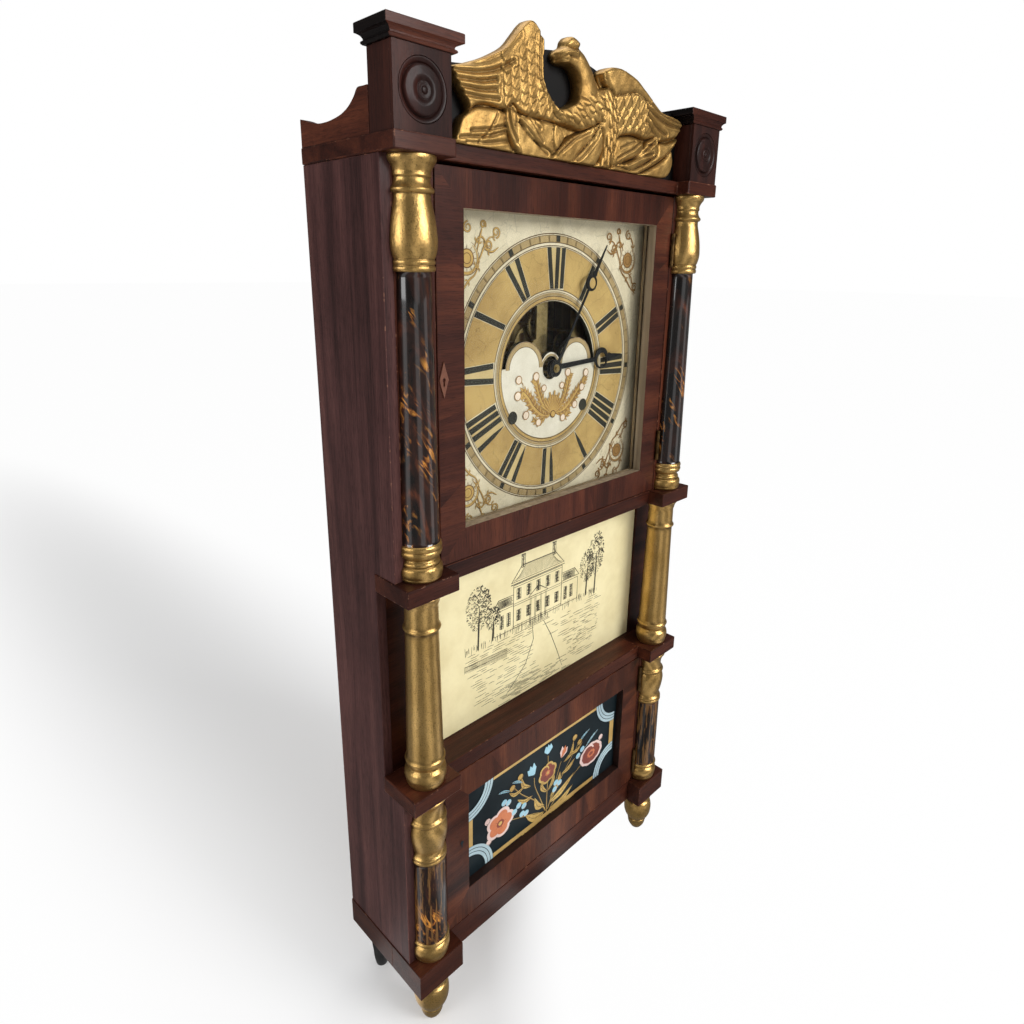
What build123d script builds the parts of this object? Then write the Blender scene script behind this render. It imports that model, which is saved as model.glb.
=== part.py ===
from build123d import *
import math
import os

# Triple decker shelf clock. Millimetres, +X to the right, the front faces -Y, +Z up.
# The origin is the middle of the footprint, on the floor under the feet.
# Inside the functions a depth y counts back from the front plane of the doors.

# Heights of the case, from the floor up
foot_height = 62.0
base_height = 31.0
lower_stage_height = 200.0
ledge_thickness = 17.0
middle_stage_height = 200.0
upper_stage_height = 342.0
cornice_thickness = 13.0
chimney_height = 56.0
cap_height = 14.0
crest_height = 101.5

# Plan of the case
case_width = 440.0
case_depth = 109.0
board_thickness = 10.0
side_inset = 1.0
back_thickness = 8.0
block_width = 57.0
block_projection = 20.0
recess_depth = 30.0
stile_thickness = 12.0
base_rail_thickness = 12.0
rear_block_width = 32.0
rear_block_depth = 34.0

# Cornice, chimneys, caps, rosettes, side galleries and crest
cornice_projection = 21.0
cornice_centre_projection = 6.0
chimney_width = 52.5
chimney_depth = 30.0
chimney_front = 19.5
cap_projection = 23.0
cap_overhang = 6.5
cap_inner_overhang = 10.5
cap_back_overhang = 5.5
cap_lip_height = 8.0
cap_step = 3.0
rosette_radius = 21.5
rosette_pocket_depth = 3.0
rosette_height = 5.0
gallery_thickness = 8.0
gallery_height = 32.0
splat_thickness = 6.0
splat_back = 8.5
crest_gap = 1.0
crest_side_gap = 6.0
crest_plate = 8.0
crest_wing_rise = 5.0
crest_wing_inset = 5.0
crest_body_radius = 14.0
crest_body_length = 92.0
crest_body_x = 6.0
crest_body_tilt = 14.0

# Columns and feet
column_radius = 20.3
middle_column_radius = 20.0
foot_radius = 19.0
rear_foot_radius = 15.0
rear_foot_inset = 22.0

# Doors
door_gap = 1.0
door_top_gap = 1.5
upper_door_top_gap = 2.5
door_thickness = 16.0
door_lap = 5.0
upper_stile_width = 30.0
upper_rail_height = 30.5
lower_stile_width = 32.0
lower_bottom_rail = 38.0
lower_top_rail = 35.0
glass_thickness = 2.5
glass_depth = 10.0
glass_lap = 5.0
glass_clearance = 0.3
rebate_depth = 4.0

# Hinges
knuckle_radius = 2.3
pin_radius = 1.1
pin_clearance = 0.05
pin_stand = 2.4
leaf_thickness = 1.2
leaf_width = 12.0
leaf_set_in = 0.05
leaf_bed = 0.05
hinge_length = 36.0
knuckle_gap = 0.3

# Lock of the upper door
escutcheon_width = 10.0
escutcheon_height = 31.0
escutcheon_thickness = 1.0
keyhole_radius = 1.7
keyhole_slot = 5.5
bolt_width = 8.0
bolt_thickness = 4.0
bolt_length = 11.0
bolt_depth = 6.5
bolt_throw = 5.0
bolt_clearance = 0.5
lock_height_share = 0.5

# Fixed tablet of the middle stage
frame_thickness = 8.0
frame_lip = 3.0
frame_stile_width = 27.0
frame_rail_height = 12.0

# Dial
dial_depth = 24.5
dial_thickness = 5.0
dial_bottom_gap = 14.5
dial_top_gap = 27.5
dial_window_radius = 70.3
dial_window_drop = 3.2
dial_lobe_radius = 26.3
dial_lobe_offset = 38.6
dial_lobe_rise = 2.5
dial_shoulder_rise = 4.1
dial_arch_radius = 14.0
dial_arch_rise = 2.0
centre_hole_radius = 12.0
winding_hole_radius = 5.5
winding_offset = 54.5
winding_drop = 45.5

# Weight channels, floor board and movement seat
partition_thickness = 6.0
weight_channel_width = 59.0
partition_front = 40.0
cord_slot_height = 56.0
cord_slot_width = 16.0
cord_slot_top = 12.0
seat_thickness = 12.0
seat_depth = 42.0

# Weights and pulleys
weight_width = 50.0
weight_depth = 40.0
weight_height = 205.0
weight_corner = 4.0
hook_radius = 7.0
hook_wire = 1.6
pulley_radius = 14.0
pulley_rim = 2.0
pulley_thickness = 7.0
pulley_pin_radius = 2.0
pulley_drop = 22.0
pulley_depth = 63.0
pulley_ear_gap = 0.6
pulley_ear_thickness = 2.0
pulley_ear_width = 10.0
running_clearance = 0.06

# Movement frame
plate_front = 38.0
plate_thickness = 2.0
plate_gap = 38.0
plate_half_width = 72.0
plate_height = 172.0
plate_foot = 9.0
strap_width = 16.0
strap_height = 12.0
boss_radius = 6.0
pillar_radius = 3.0
pillar_inset = 6.0
arbor_radius = 1.5
pivot_radius = 1.0
arbor_shake = 0.4

# Going train: wheel modules and where each lies between the plates
great_teeth = 72
pinion_leaves = 8
great_module = 1.0
second_teeth = 64
second_module = 0.9
centre_teeth = 60
centre_module = 0.7
third_teeth = 64
third_module = 0.6
escape_teeth = 40
escape_radius = 16.0
escape_rise = 42.0
verge_rise = 25.0
great_front = 69.0
great_thickness = 2.5
second_front = 64.0
centre_front = 56.0
third_front = 50.0
escape_front = 44.0
wheel_thickness = 1.6
pinion_length = 4.6
hub_radius = 4.5
wheel_tooth_shares = (0.9, 1.2, 0.36, 0.16)
pinion_leaf_shares = (0.6, 1.15, 0.30, 0.15)
escape_tooth_shares = (1.0, 2.6, 0.30, 0.06)
ratchet_tooth_shares = (0.6, 0.9, 0.60, 0.10)
crossing_hole_share = 0.34
crossings = 5

# Drums
drum_radius = 24.0
drum_front = 46.0
drum_length = 15.5
drum_flange = 1.0
drum_flange_rise = 2.0
drum_arbor_radius = 3.0
ratchet_front = 66.8
ratchet_thickness = 1.8
ratchet_teeth = 24
ratchet_module = 1.0
winding_square = 4.2
winding_front = 31.0

# Motion work and hands
cannon_leaves = 12
minute_wheel_teeth = 36
minute_module = 0.75
minute_pinion_leaves = 10
hour_teeth = 40
hour_module = 0.72
centre_arbor_radius = 2.5
arbor_tip = 14.0
cannon_front = 34.6
cannon_length = 2.3
minute_wheel_front = 35.0
minute_pinion_front = 31.2
stud_radius = 1.5
stud_front = 30.4
stud_head = 2.4
stud_head_length = 0.6
hour_wheel_front = 31.6
pipe_wall = 1.25
pipe_front = 19.0
pipe_back = 34.2
hour_hand_front = 20.0
minute_hand_front = 16.5
hand_thickness = 1.0
hand_seat_gap = 0.1
collet_radius = 4.2
collet_length = 0.9
hand_hub_radius = 5.2
minute_hand_length = 143.0
hour_hand_length = 96.0
minute_hand_angle = 31.5
hour_hand_angle = 87.0
hand_root_width = 3.4
hand_tip_width = 1.1
hand_ring_radius = 7.0
hand_ring_hole = 5.0
hour_ring_radius = 10.5
hour_ring_hole = 7.2
hand_ring_place_share = 0.69
hour_ring_place_share = 0.83

# Escapement and pendulum
pallet_gap = 1.9
pallet_width = 3.0
pallet_thickness = 1.6
pallet_half_span = 12.5
pallet_front = 43.2
pallet_drop = 9.0
verge_arm_height = 3.0
crutch_front = 82.2
crutch_thickness = 1.6
crutch_width = 2.4
crutch_length = 60.0
fork_prong = 1.4
fork_gap = 0.35
pendulum_length = 559.0
pendulum_depth = 89.0
rod_radius = 1.2
eye_radius = 4.2
eye_thickness = 4.0
suspension_radius = 2.0
cock_width = 10.0
cock_thickness = 2.0
cock_rise = 14.0
cock_reach = 92.0
bob_radius = 38.0
bob_thickness = 12.0
bob_nut_radius = 4.0
bob_nut_height = 5.0
rod_tail = 14.0

# Striking train, fly, hammer and bell
strike_second_teeth = 60
strike_second_module = 0.7
strike_third_teeth = 48
strike_third_module = 0.6
strike_second_angle = 80.0
strike_third_angle = 110.0
fly_angle = 90.0
strike_second_front = 63.5
strike_third_front = 56.0
fly_front = 44.0
fly_width = 8.0
fly_reach = 13.6
fly_thickness = 0.8
hammer_arbor_x = -24.0
hammer_arbor_rise = 64.5
hammer_arm_width = 2.4
hammer_front = 58.0
hammer_thickness = 3.0
hammer_head_radius = 4.5
hammer_head_length = 9.0
hammer_gap = 1.2
bell_radius = 30.0
bell_wall = 2.0
bell_depth = 17.0
bell_back = 74.0
bell_x = 38.0
bell_rise = 120.5
bell_post_radius = 2.0
bell_strap_width = 9.0
bell_nut_radius = 4.0
bell_nut_length = 2.5

# One overrun serves every cut
overrun = 1.0

# Places worked out from the sizes above
half_width = case_width / 2
front_y = (cap_projection - case_depth) / 2
z_base = foot_height
z_lower = z_base + base_height
z_low_ledge = z_lower + lower_stage_height
z_middle = z_low_ledge + ledge_thickness
z_high_ledge = z_middle + middle_stage_height
z_upper = z_high_ledge + ledge_thickness
z_cornice = z_upper + upper_stage_height
z_top = z_cornice + cornice_thickness
z_cap = z_top + chimney_height
block_inner = half_width - block_width
side_outer = half_width - side_inset
side_inner = side_outer - board_thickness
column_x = half_width - block_width / 2
back_front = case_depth - back_thickness
door_half_width = block_inner + door_lap
crest_width = 2 * (block_inner - crest_side_gap)
partition_face = side_inner - weight_channel_width - partition_thickness
dial_half_width = partition_face + partition_thickness
dial_half_height = (upper_stage_height - dial_bottom_gap - dial_top_gap) / 2
z_dial = z_upper + dial_bottom_gap + dial_half_height
frame_back = recess_depth + frame_thickness
plate_back = plate_front + plate_thickness + plate_gap
z_plate = z_dial - winding_drop - great_module * great_teeth / 2 - plate_foot

centre_place = (0.0, z_dial)
time_place = (-winding_offset, z_dial - winding_drop)
strike_place = (winding_offset, z_dial - winding_drop)
escape_place = (0.0, z_dial + escape_rise)
verge_place = (0.0, z_dial + escape_rise + verge_rise)


def centre_distance(teeth, leaves, module):
    return module * (teeth + leaves) / 2


def polar(radius, angle):
    return (radius * math.cos(math.radians(angle)), radius * math.sin(math.radians(angle)))


def stepped(place, radius, angle):
    across, up = polar(radius, angle)
    return (place[0] + across, place[1] + up)


def bearing(start, end):
    return math.degrees(math.atan2(end[1] - start[1], end[0] - start[0]))


# The place at two given distances from two others, on the left of the way from one to the other
def meeting_place(first, first_reach, second, second_reach):
    span = math.dist(first, second)
    along = (first_reach**2 - second_reach**2 + span**2) / (2 * span)
    aside = math.sqrt(first_reach**2 - along**2)
    heading = bearing(first, second)
    middle = stepped(first, along, heading)
    return stepped(middle, aside, heading + 90)


second_place = meeting_place(
    time_place,
    centre_distance(great_teeth, pinion_leaves, great_module),
    centre_place,
    centre_distance(second_teeth, pinion_leaves, second_module),
)
third_place = meeting_place(
    centre_place,
    centre_distance(centre_teeth, pinion_leaves, centre_module),
    escape_place,
    centre_distance(third_teeth, pinion_leaves, third_module),
)
minute_place = (0.0, z_dial - centre_distance(minute_wheel_teeth, cannon_leaves, minute_module))
strike_second_place = stepped(
    strike_place,
    centre_distance(great_teeth, pinion_leaves, great_module),
    strike_second_angle,
)
strike_third_place = stepped(
    strike_second_place,
    centre_distance(strike_second_teeth, pinion_leaves, strike_second_module),
    strike_third_angle,
)
fly_place = stepped(
    strike_third_place,
    centre_distance(strike_third_teeth, pinion_leaves, strike_third_module),
    fly_angle,
)
hammer_place = (hammer_arbor_x, z_dial + hammer_arbor_rise)
bell_place = (bell_x, z_dial + bell_rise)
pulley_x = (side_inner + partition_face + partition_thickness) / 2 - pulley_radius
z_pulley = z_cornice - pulley_drop
hinge_x = door_half_width + door_gap / 2

parts = {}


# A board between two planes each way, with its depths counted from the door plane
def slab(x0, x1, y0, y1, z0, z1):
    middle = ((x0 + x1) / 2, front_y + (y0 + y1) / 2, (z0 + z1) / 2)
    return Pos(*middle) * Box(abs(x1 - x0), abs(y1 - y0), abs(z1 - z0))


# A round bar from front to back
def bar(place, y0, y1, radius):
    middle = (place[0], front_y + (y0 + y1) / 2, place[1])
    return Pos(*middle) * Rot(90, 0, 0) * Cylinder(radius, y1 - y0)


# A flat shape seen from the front, given thickness from y0 back to y1
def standing(shape, place, y0, y1):
    back = Plane(origin=(place[0], front_y + y1, place[1]), x_dir=(1, 0, 0), z_dir=(0, -1, 0))
    return extrude(back * shape, amount=y1 - y0, dir=(0, -1, 0))


# A turned piece on the Z axis. Each step is where it ends, as shares of height and radius,
# and how far the stretch swells, as a share of the radius
def turning(start_share, step_shares, height, radius, sweep=360):
    here = (start_share * radius, 0, 0)
    edges = [Line((0, 0, 0), here)]
    for height_share, radius_share, swell_share in step_shares:
        there = (radius_share * radius, 0, height_share * height)
        if swell_share:
            middle = ((here[0] + there[0]) / 2 + swell_share * radius, 0, (here[2] + there[2]) / 2)
            edges.append(ThreePointArc(here, middle, there))
        else:
            edges.append(Line(here, there))
        here = there
    top = (0, 0, here[2])
    edges.append(Line(here, top))
    edges.append(Line(top, (0, 0, 0)))
    return revolve(make_face(edges), axis=Axis.Z, revolution_arc=sweep)


# The front half of a turned piece, flat against the door plane
def half_turning(start_share, step_shares, height, radius):
    return Rot(0, 0, 180) * turning(start_share, step_shares, height, radius, 180)


# A toothed outline with a tooth centred on the angle phase
def toothed(teeth, module, tooth_shares, phase):
    rise_share, drop_share, root_share, tip_share = tooth_shares
    pitch = module * teeth / 2
    tip = pitch + rise_share * module
    root = pitch - drop_share * module
    step = 360 / teeth
    points = []
    for index in range(teeth):
        middle = phase + index * step
        points.append(polar(root, middle - root_share * step / 2))
        points.append(polar(tip, middle - tip_share * step / 2))
        points.append(polar(tip, middle + tip_share * step / 2))
        points.append(polar(root, middle + root_share * step / 2))
    return Polygon(*points, align=None)


# A wheel with round crossings between its hub and its rim
def wheel(place, teeth, module, phase, y0, thickness, tooth_shares=wheel_tooth_shares):
    blank = toothed(teeth, module, tooth_shares, phase)
    root = module * (teeth / 2 - tooth_shares[1])
    reach = (root + hub_radius) / 2
    hole = (root - hub_radius) * crossing_hole_share
    for index in range(crossings):
        across, up = polar(reach, phase + index * 360 / crossings)
        blank -= Pos(across, up) * Circle(hole)
    return standing(blank, place, y0, y0 + thickness)


# A pinion with a gap between leaves on the angle facing
def pinion(place, leaves, module, facing, y0, length):
    outline = toothed(leaves, module, pinion_leaf_shares, facing + 180 / leaves)
    return standing(outline, place, y0, y0 + length)


# An arbor between the plates, with its two pivots
def arbor(place, radius=arbor_radius):
    inside_front = plate_front + plate_thickness + arbor_shake
    inside_back = plate_back - arbor_shake
    shaft = bar(place, inside_front, inside_back, radius)
    shaft += bar(place, plate_front, inside_front, pivot_radius)
    shaft += bar(place, inside_back, plate_back + plate_thickness, pivot_radius)
    return shaft


column_steps = (
    (0.036, 0.98, 0.06),
    (0.040, 0.84, 0),
    (0.052, 0.84, 0.05),
    (0.067, 0.93, -0.12),
    (0.083, 0.93, 0.06),
    (0.098, 0.92, 0.06),
    (0.099, 0.89, 0),
    (0.757, 0.74, 0),
    (0.758, 0.86, 0),
    (0.772, 0.86, 0.05),
    (0.785, 0.86, 0.05),
    (0.828, 1.00, 0.05),
    (0.900, 0.82, 0.02),
    (0.922, 0.78, -0.02),
    (0.930, 0.89, 0),
    (0.938, 0.86, 0.03),
    (0.955, 0.76, -0.03),
    (0.962, 0.80, 0.01),
    (0.985, 0.98, -0.02),
    (1.000, 1.00, 0.02),
)
middle_column_steps = (
    (0.090, 0.98, 0.07),
    (0.100, 0.88, 0),
    (0.120, 0.88, -0.05),
    (0.145, 0.95, 0.04),
    (0.150, 0.90, 0),
    (0.830, 0.77, 0),
    (0.840, 0.86, 0.03),
    (0.860, 0.80, 0.03),
    (0.945, 0.78, 0),
    (1.000, 1.00, -0.06),
)
lower_column_steps = (
    (0.085, 0.98, 0.06),
    (0.098, 0.88, 0),
    (0.128, 0.96, 0.05),
    (0.130, 0.92, 0),
    (0.635, 0.89, 0),
    (0.640, 0.92, 0),
    (0.672, 0.90, 0.05),
    (0.700, 0.80, -0.05),
    (0.810, 1.00, 0.03),
    (0.862, 0.86, 0.02),
    (0.875, 0.96, 0),
    (0.890, 0.94, 0.04),
    (0.930, 0.80, -0.04),
    (1.000, 1.00, -0.05),
)


def side_board(sign):
    board = slab(sign * side_inner, sign * side_outer, 0, case_depth, z_lower, z_cornice)
    recess = slab(
        sign * (side_inner - overrun),
        sign * (side_outer + overrun),
        -overrun,
        recess_depth,
        z_low_ledge,
        z_upper,
    )
    return board - recess


def ledge(z0):
    shape = slab(-half_width, half_width, 0, recess_depth, z0, z0 + ledge_thickness)
    for sign in (-1, 1):
        shape += slab(
            sign * block_inner, sign * half_width, -block_projection, 0, z0, z0 + ledge_thickness
        )
    return shape


def base_frame():
    shape = slab(-half_width, half_width, 0, base_rail_thickness, z_base, z_lower)
    for sign in (-1, 1):
        shape += slab(
            sign * block_inner, sign * half_width, -block_projection, recess_depth, z_base, z_lower
        )
        shape += slab(
            sign * side_inner, sign * half_width, recess_depth, case_depth, z_base, z_lower
        )
        shape += slab(
            sign * (side_inner - rear_block_width),
            sign * side_inner,
            back_front - rear_block_depth,
            back_front,
            z_base,
            z_lower - board_thickness,
        )
    return shape


def floor_board():
    notch = block_inner
    shape = slab(
        -side_inner, side_inner, base_rail_thickness, back_front, z_lower - board_thickness, z_lower
    )
    for sign in (-1, 1):
        shape -= slab(
            sign * notch,
            sign * (side_inner + overrun),
            0,
            recess_depth,
            z_base,
            z_lower + overrun,
        )
    return shape


def top_board():
    shape = slab(
        -half_width, half_width, -cornice_centre_projection, case_depth, z_cornice, z_top
    )
    for sign in (-1, 1):
        shape += slab(
            sign * block_inner,
            sign * half_width,
            -cornice_projection,
            -cornice_centre_projection,
            z_cornice,
            z_top,
        )
    return shape


def stiles(z0, z1, with_mortise):
    inner = door_half_width + door_gap
    shapes = []
    for sign in (-1, 1):
        shape = slab(sign * inner, sign * side_inner, 0, stile_thickness, z0, z1)
        if sign > 0:
            for middle in hinge_heights(z0, z1):
                shape -= leaf_bed_cut(1, middle)
        elif with_mortise:
            shape -= bolt_space(inner - overrun, inner + bolt_throw + bolt_clearance)
        shapes.append(shape)
    return shapes


# Its front edge comes forward in the upper stage to carry the dial
def channel_board(sign):
    outer = partition_face + partition_thickness
    board = slab(
        sign * partition_face, sign * outer, partition_front, back_front, z_lower, z_cornice
    )
    board += slab(
        sign * partition_face,
        sign * outer,
        dial_depth + dial_thickness,
        partition_front,
        z_high_ledge + ledge_thickness + frame_rail_height,
        z_cornice,
    )
    slot_top = z_cornice - cord_slot_top
    slot = slab(
        sign * (partition_face - overrun),
        sign * (outer + overrun),
        pulley_depth - cord_slot_width / 2,
        pulley_depth + cord_slot_width / 2,
        slot_top - cord_slot_height,
        slot_top,
    )
    return board - slot


def middle_frame():
    z0 = z_middle - frame_rail_height
    z1 = z_high_ledge + frame_rail_height
    opening = side_inner - frame_stile_width
    shape = slab(-side_inner, side_inner, recess_depth, frame_back, z0, z1)
    shape -= slab(-opening, opening, 0, frame_back + overrun, z_middle, z_high_ledge)
    lap = glass_lap + glass_clearance
    shape -= slab(
        -opening - lap,
        opening + lap,
        recess_depth + frame_lip,
        frame_back + overrun,
        z_middle - lap,
        z_high_ledge + lap,
    )
    return shape


def middle_tablet():
    half = side_inner - frame_stile_width + glass_lap
    y0 = recess_depth + frame_lip
    return slab(
        -half, half, y0, y0 + glass_thickness, z_middle - glass_lap, z_high_ledge + glass_lap
    )


column_foot_share = 0.86


# The upper and lower columns are halves, flat against the stiles
def upper_column(sign):
    shape = half_turning(column_foot_share, column_steps, upper_stage_height, column_radius)
    return Pos(sign * column_x, front_y, z_upper) * shape


def middle_column(sign):
    shape = turning(
        column_foot_share, middle_column_steps, middle_stage_height, middle_column_radius
    )
    return Pos(sign * column_x, front_y, z_middle) * shape


def lower_column(sign):
    shape = half_turning(column_foot_share, lower_column_steps, lower_stage_height, column_radius)
    return Pos(sign * column_x, front_y, z_lower) * shape


foot_steps = (
    (0.020, 0.36, 0),
    (0.220, 0.62, 0.06),
    (0.280, 0.70, 0),
    (0.300, 0.64, -0.03),
    (0.330, 0.78, 0),
    (0.560, 1.00, 0.06),
    (0.800, 0.86, 0.03),
    (0.860, 0.74, -0.03),
    (0.900, 0.92, 0),
    (1.000, 0.92, 0.05),
)
rear_foot_steps = (
    (0.300, 0.80, 0.05),
    (0.700, 1.00, 0.03),
    (1.000, 0.90, 0.03),
)


def chimney(sign):
    inner = half_width - cornice_side_margin() - chimney_width
    outer = inner + chimney_width
    y0 = -chimney_front
    block = slab(sign * inner, sign * outer, y0, y0 + chimney_depth, z_top, z_cap)
    middle = (sign * (inner + outer) / 2, (z_top + z_cap) / 2)
    pocket_radius = rosette_radius + running_clearance
    pocket = bar(middle, y0 - overrun, y0 + rosette_pocket_depth, pocket_radius)
    return block - pocket


def cornice_side_margin():
    return side_inset + side_inset / 2


def chimney_cap(sign):
    outer = half_width - cornice_side_margin()
    inner = outer - chimney_width
    y0 = -chimney_front
    y1 = y0 + chimney_depth
    front = -cap_projection
    outer_reach = outer + cap_overhang
    inner_reach = inner - cap_inner_overhang
    back_reach = y1 + cap_back_overhang
    lip = slab(
        sign * inner_reach,
        sign * outer_reach,
        front,
        back_reach,
        z_cap + cap_height - cap_lip_height,
        z_cap + cap_height,
    )
    lip += slab(
        sign * (inner_reach + cap_step),
        sign * (outer_reach - cap_step),
        front + cap_step,
        back_reach - cap_step,
        z_cap,
        z_cap + cap_height - cap_lip_height,
    )
    return lip


rosette_steps = (
    (0.500, 1.00, 0),
    (0.750, 0.94, 0.02),
    (0.700, 0.80, 0),
    (0.450, 0.76, 0),
    (0.600, 0.72, 0),
    (0.900, 0.30, 0),
    (0.800, 0.26, 0),
    (1.000, 0.10, 0.04),
)


def rosette(sign):
    outer = half_width - cornice_side_margin()
    middle_x = sign * (outer - chimney_width / 2)
    z = (z_top + z_cap) / 2
    back = front_y - chimney_front + rosette_pocket_depth
    disc = turning(1.0, rosette_steps, rosette_height, rosette_radius)
    return Pos(middle_x, back, z) * Rot(90, 0, 0) * disc


gallery_profile_shares = (
    (0.06, 1.00),
    (0.14, 0.90),
    (0.24, 0.70),
    (0.42, 0.50),
    (0.66, 0.45),
    (0.86, 0.54),
    (1.00, 0.66),
)


def side_gallery(sign):
    start = chimney_depth - chimney_front
    length = case_depth - start
    points = []
    for along_share, up_share in gallery_profile_shares:
        points.append((start + along_share * length, up_share * gallery_height))
    edges = [
        Line((start, 0), (start, gallery_height)),
        Line((start, gallery_height), points[0]),
        Spline(*points),
        Line(points[-1], (case_depth, 0)),
        Line((case_depth, 0), (start, 0)),
    ]
    outer = half_width - side_inset
    side = Plane(
        origin=(sign * (outer - gallery_thickness / 2), front_y, z_top),
        x_dir=(0, 1, 0),
        z_dir=(1, 0, 0),
    )
    return extrude(side * make_face(edges), amount=gallery_thickness / 2, both=True)


splat_profile_shares = (
    (-0.50, 0.57),
    (-0.42, 0.58),
    (-0.30, 0.68),
    (-0.18, 0.82),
    (-0.06, 0.88),
    (0.06, 0.84),
    (0.20, 0.72),
    (0.36, 0.64),
    (0.50, 0.68),
)


def splat_board():
    span = 2 * chimney_inner()
    points = [(x * span, z * crest_height) for x, z in splat_profile_shares]
    edges = [
        Spline(*points),
        Line(points[-1], (span / 2, 0)),
        Line((span / 2, 0), (-span / 2, 0)),
        Line((-span / 2, 0), points[0]),
    ]
    board = standing(make_face(edges), (0, z_top), splat_back - splat_thickness, splat_back)
    for sign in (-1, 1):
        board -= slab(
            sign * (chimney_inner() - cap_inner_overhang - running_clearance),
            sign * half_width,
            -case_depth,
            case_depth,
            z_cap,
            z_top + crest_height,
        )
    return board


def chimney_inner():
    return half_width - cornice_side_margin() - chimney_width


# The crest's outline from its lower left corner, as shares of its width and height
crest_outline_shares = (
    (-0.485, 0.00),
    (-0.475, 0.10),
    (-0.455, 0.19),
    (-0.436, 0.26),
    (-0.455, 0.34),
    (-0.480, 0.44),
    (-0.490, 0.53),
    (-0.445, 0.57),
    (-0.395, 0.63),
    (-0.350, 0.69),
    (-0.310, 0.78),
    (-0.275, 0.90),
    (-0.248, 0.97),
    (-0.226, 1.00),
    (-0.204, 0.985),
    (-0.186, 0.95),
    (-0.176, 0.86),
    (-0.180, 0.72),
    (-0.174, 0.58),
    (-0.145, 0.47),
    (-0.108, 0.39),
    (-0.078, 0.45),
    (-0.058, 0.53),
    (-0.058, 0.66),
    (-0.078, 0.75),
    (-0.110, 0.77),
    (-0.146, 0.77),
    (-0.138, 0.83),
    (-0.120, 0.89),
    (-0.094, 0.93),
    (-0.078, 0.98),
    (-0.055, 0.99),
    (-0.035, 0.97),
    (-0.012, 0.91),
    (0.010, 0.84),
    (0.042, 0.74),
    (0.084, 0.64),
    (0.070, 0.77),
    (0.084, 0.82),
    (0.112, 0.86),
    (0.148, 0.875),
    (0.196, 0.85),
    (0.246, 0.80),
    (0.296, 0.73),
    (0.350, 0.66),
    (0.412, 0.60),
    (0.485, 0.57),
    (0.500, 0.53),
    (0.488, 0.43),
    (0.500, 0.38),
    (0.480, 0.26),
    (0.460, 0.14),
    (0.445, 0.00),
)
left_wing_shares = (
    (-0.470, 0.50),
    (-0.430, 0.30),
    (-0.300, 0.30),
    (-0.150, 0.33),
    (-0.195, 0.62),
    (-0.210, 0.90),
    (-0.240, 0.90),
    (-0.330, 0.66),
)
right_wing_shares = (
    (0.110, 0.76),
    (0.100, 0.55),
    (0.130, 0.30),
    (0.300, 0.28),
    (0.470, 0.42),
    (0.470, 0.52),
    (0.340, 0.62),
    (0.200, 0.80),
    (0.150, 0.82),
)
crest_body_steps = (
    (0.150, 0.75, 0.05),
    (0.450, 1.00, 0.06),
    (0.760, 0.55, 0),
    (0.880, 0.60, 0.08),
    (1.000, 0.20, 0.08),
)


def crest_face(outline_shares):
    points = [(x * crest_width, z * crest_height) for x, z in outline_shares]
    return Polygon(*points, align=None)


def eagle_crest():
    back = splat_back - splat_thickness
    middle = (0, z_top)
    plate = standing(crest_face(crest_outline_shares), middle, back - crest_plate, back)
    front = back - crest_plate - crest_wing_rise
    for wing_shares in (left_wing_shares, right_wing_shares):
        plate += standing(crest_face(wing_shares), middle, front, back)
    body = turning(0.4, crest_body_steps, crest_body_length, crest_body_radius)
    place = Pos(crest_body_x, front_y + back - crest_plate, z_top)
    body = place * Rot(0, -crest_body_tilt, 0) * body
    body &= slab(
        -half_width,
        half_width,
        -case_depth,
        back,
        z_top,
        z_top + crest_height,
    )
    return plate + body


# Hinges
hinge_low_share = 0.17


def hinge_heights(z0, z1):
    span = z1 - z0
    return (z0 + span * hinge_low_share, z1 - span * hinge_low_share)


def leaf_bed_cut(side, middle):
    x0 = hinge_x + side * (door_gap / 2 - overrun)
    x1 = hinge_x + side * (door_gap / 2 + leaf_thickness + leaf_bed)
    half = hinge_length / 2 + leaf_bed
    return slab(x0, x1, -overrun, leaf_width + leaf_bed, middle - half, middle + half)


# One leaf with its own knuckles; the fixed leaf has the two outer ones
def hinge_leaf(side, middle):
    near = hinge_x + side * door_gap / 2
    far = near + side * leaf_thickness
    third = hinge_length / 3
    leaf = slab(
        near, far, leaf_set_in, leaf_width, middle - hinge_length / 2, middle + hinge_length / 2
    )
    if side > 0:
        spans = (
            (middle - hinge_length / 2, middle - third / 2),
            (middle + third / 2, middle + hinge_length / 2),
        )
    else:
        spans = ((middle - third / 2 + knuckle_gap, middle + third / 2 - knuckle_gap),)
    for low, high in spans:
        barrel = Cylinder(knuckle_radius, high - low)
        if side > 0:
            barrel -= Cylinder(pin_radius + pin_clearance, high - low + overrun)
        barrel = Pos(hinge_x, front_y - pin_stand, (low + high) / 2) * barrel
        web = slab(near, far, -pin_stand, leaf_set_in, low, high)
        bore = Pos(hinge_x, front_y - pin_stand, middle) * Cylinder(
            pin_radius + pin_clearance, hinge_length + overrun
        )
        leaf += barrel + (web - bore)
    if side < 0:
        pin = Cylinder(pin_radius, hinge_length)
        leaf += Pos(hinge_x, front_y - pin_stand, middle) * pin
    return leaf


# Lock
def lock_height():
    return z_upper + upper_stage_height * lock_height_share


def bolt_space(x0, x1):
    z = lock_height()
    half = bolt_width / 2 + bolt_clearance
    y0 = bolt_depth - bolt_thickness / 2 - bolt_clearance
    y1 = bolt_depth + bolt_thickness / 2 + bolt_clearance
    return slab(-x0, -x1, y0, y1, z - half, z + half)


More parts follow.
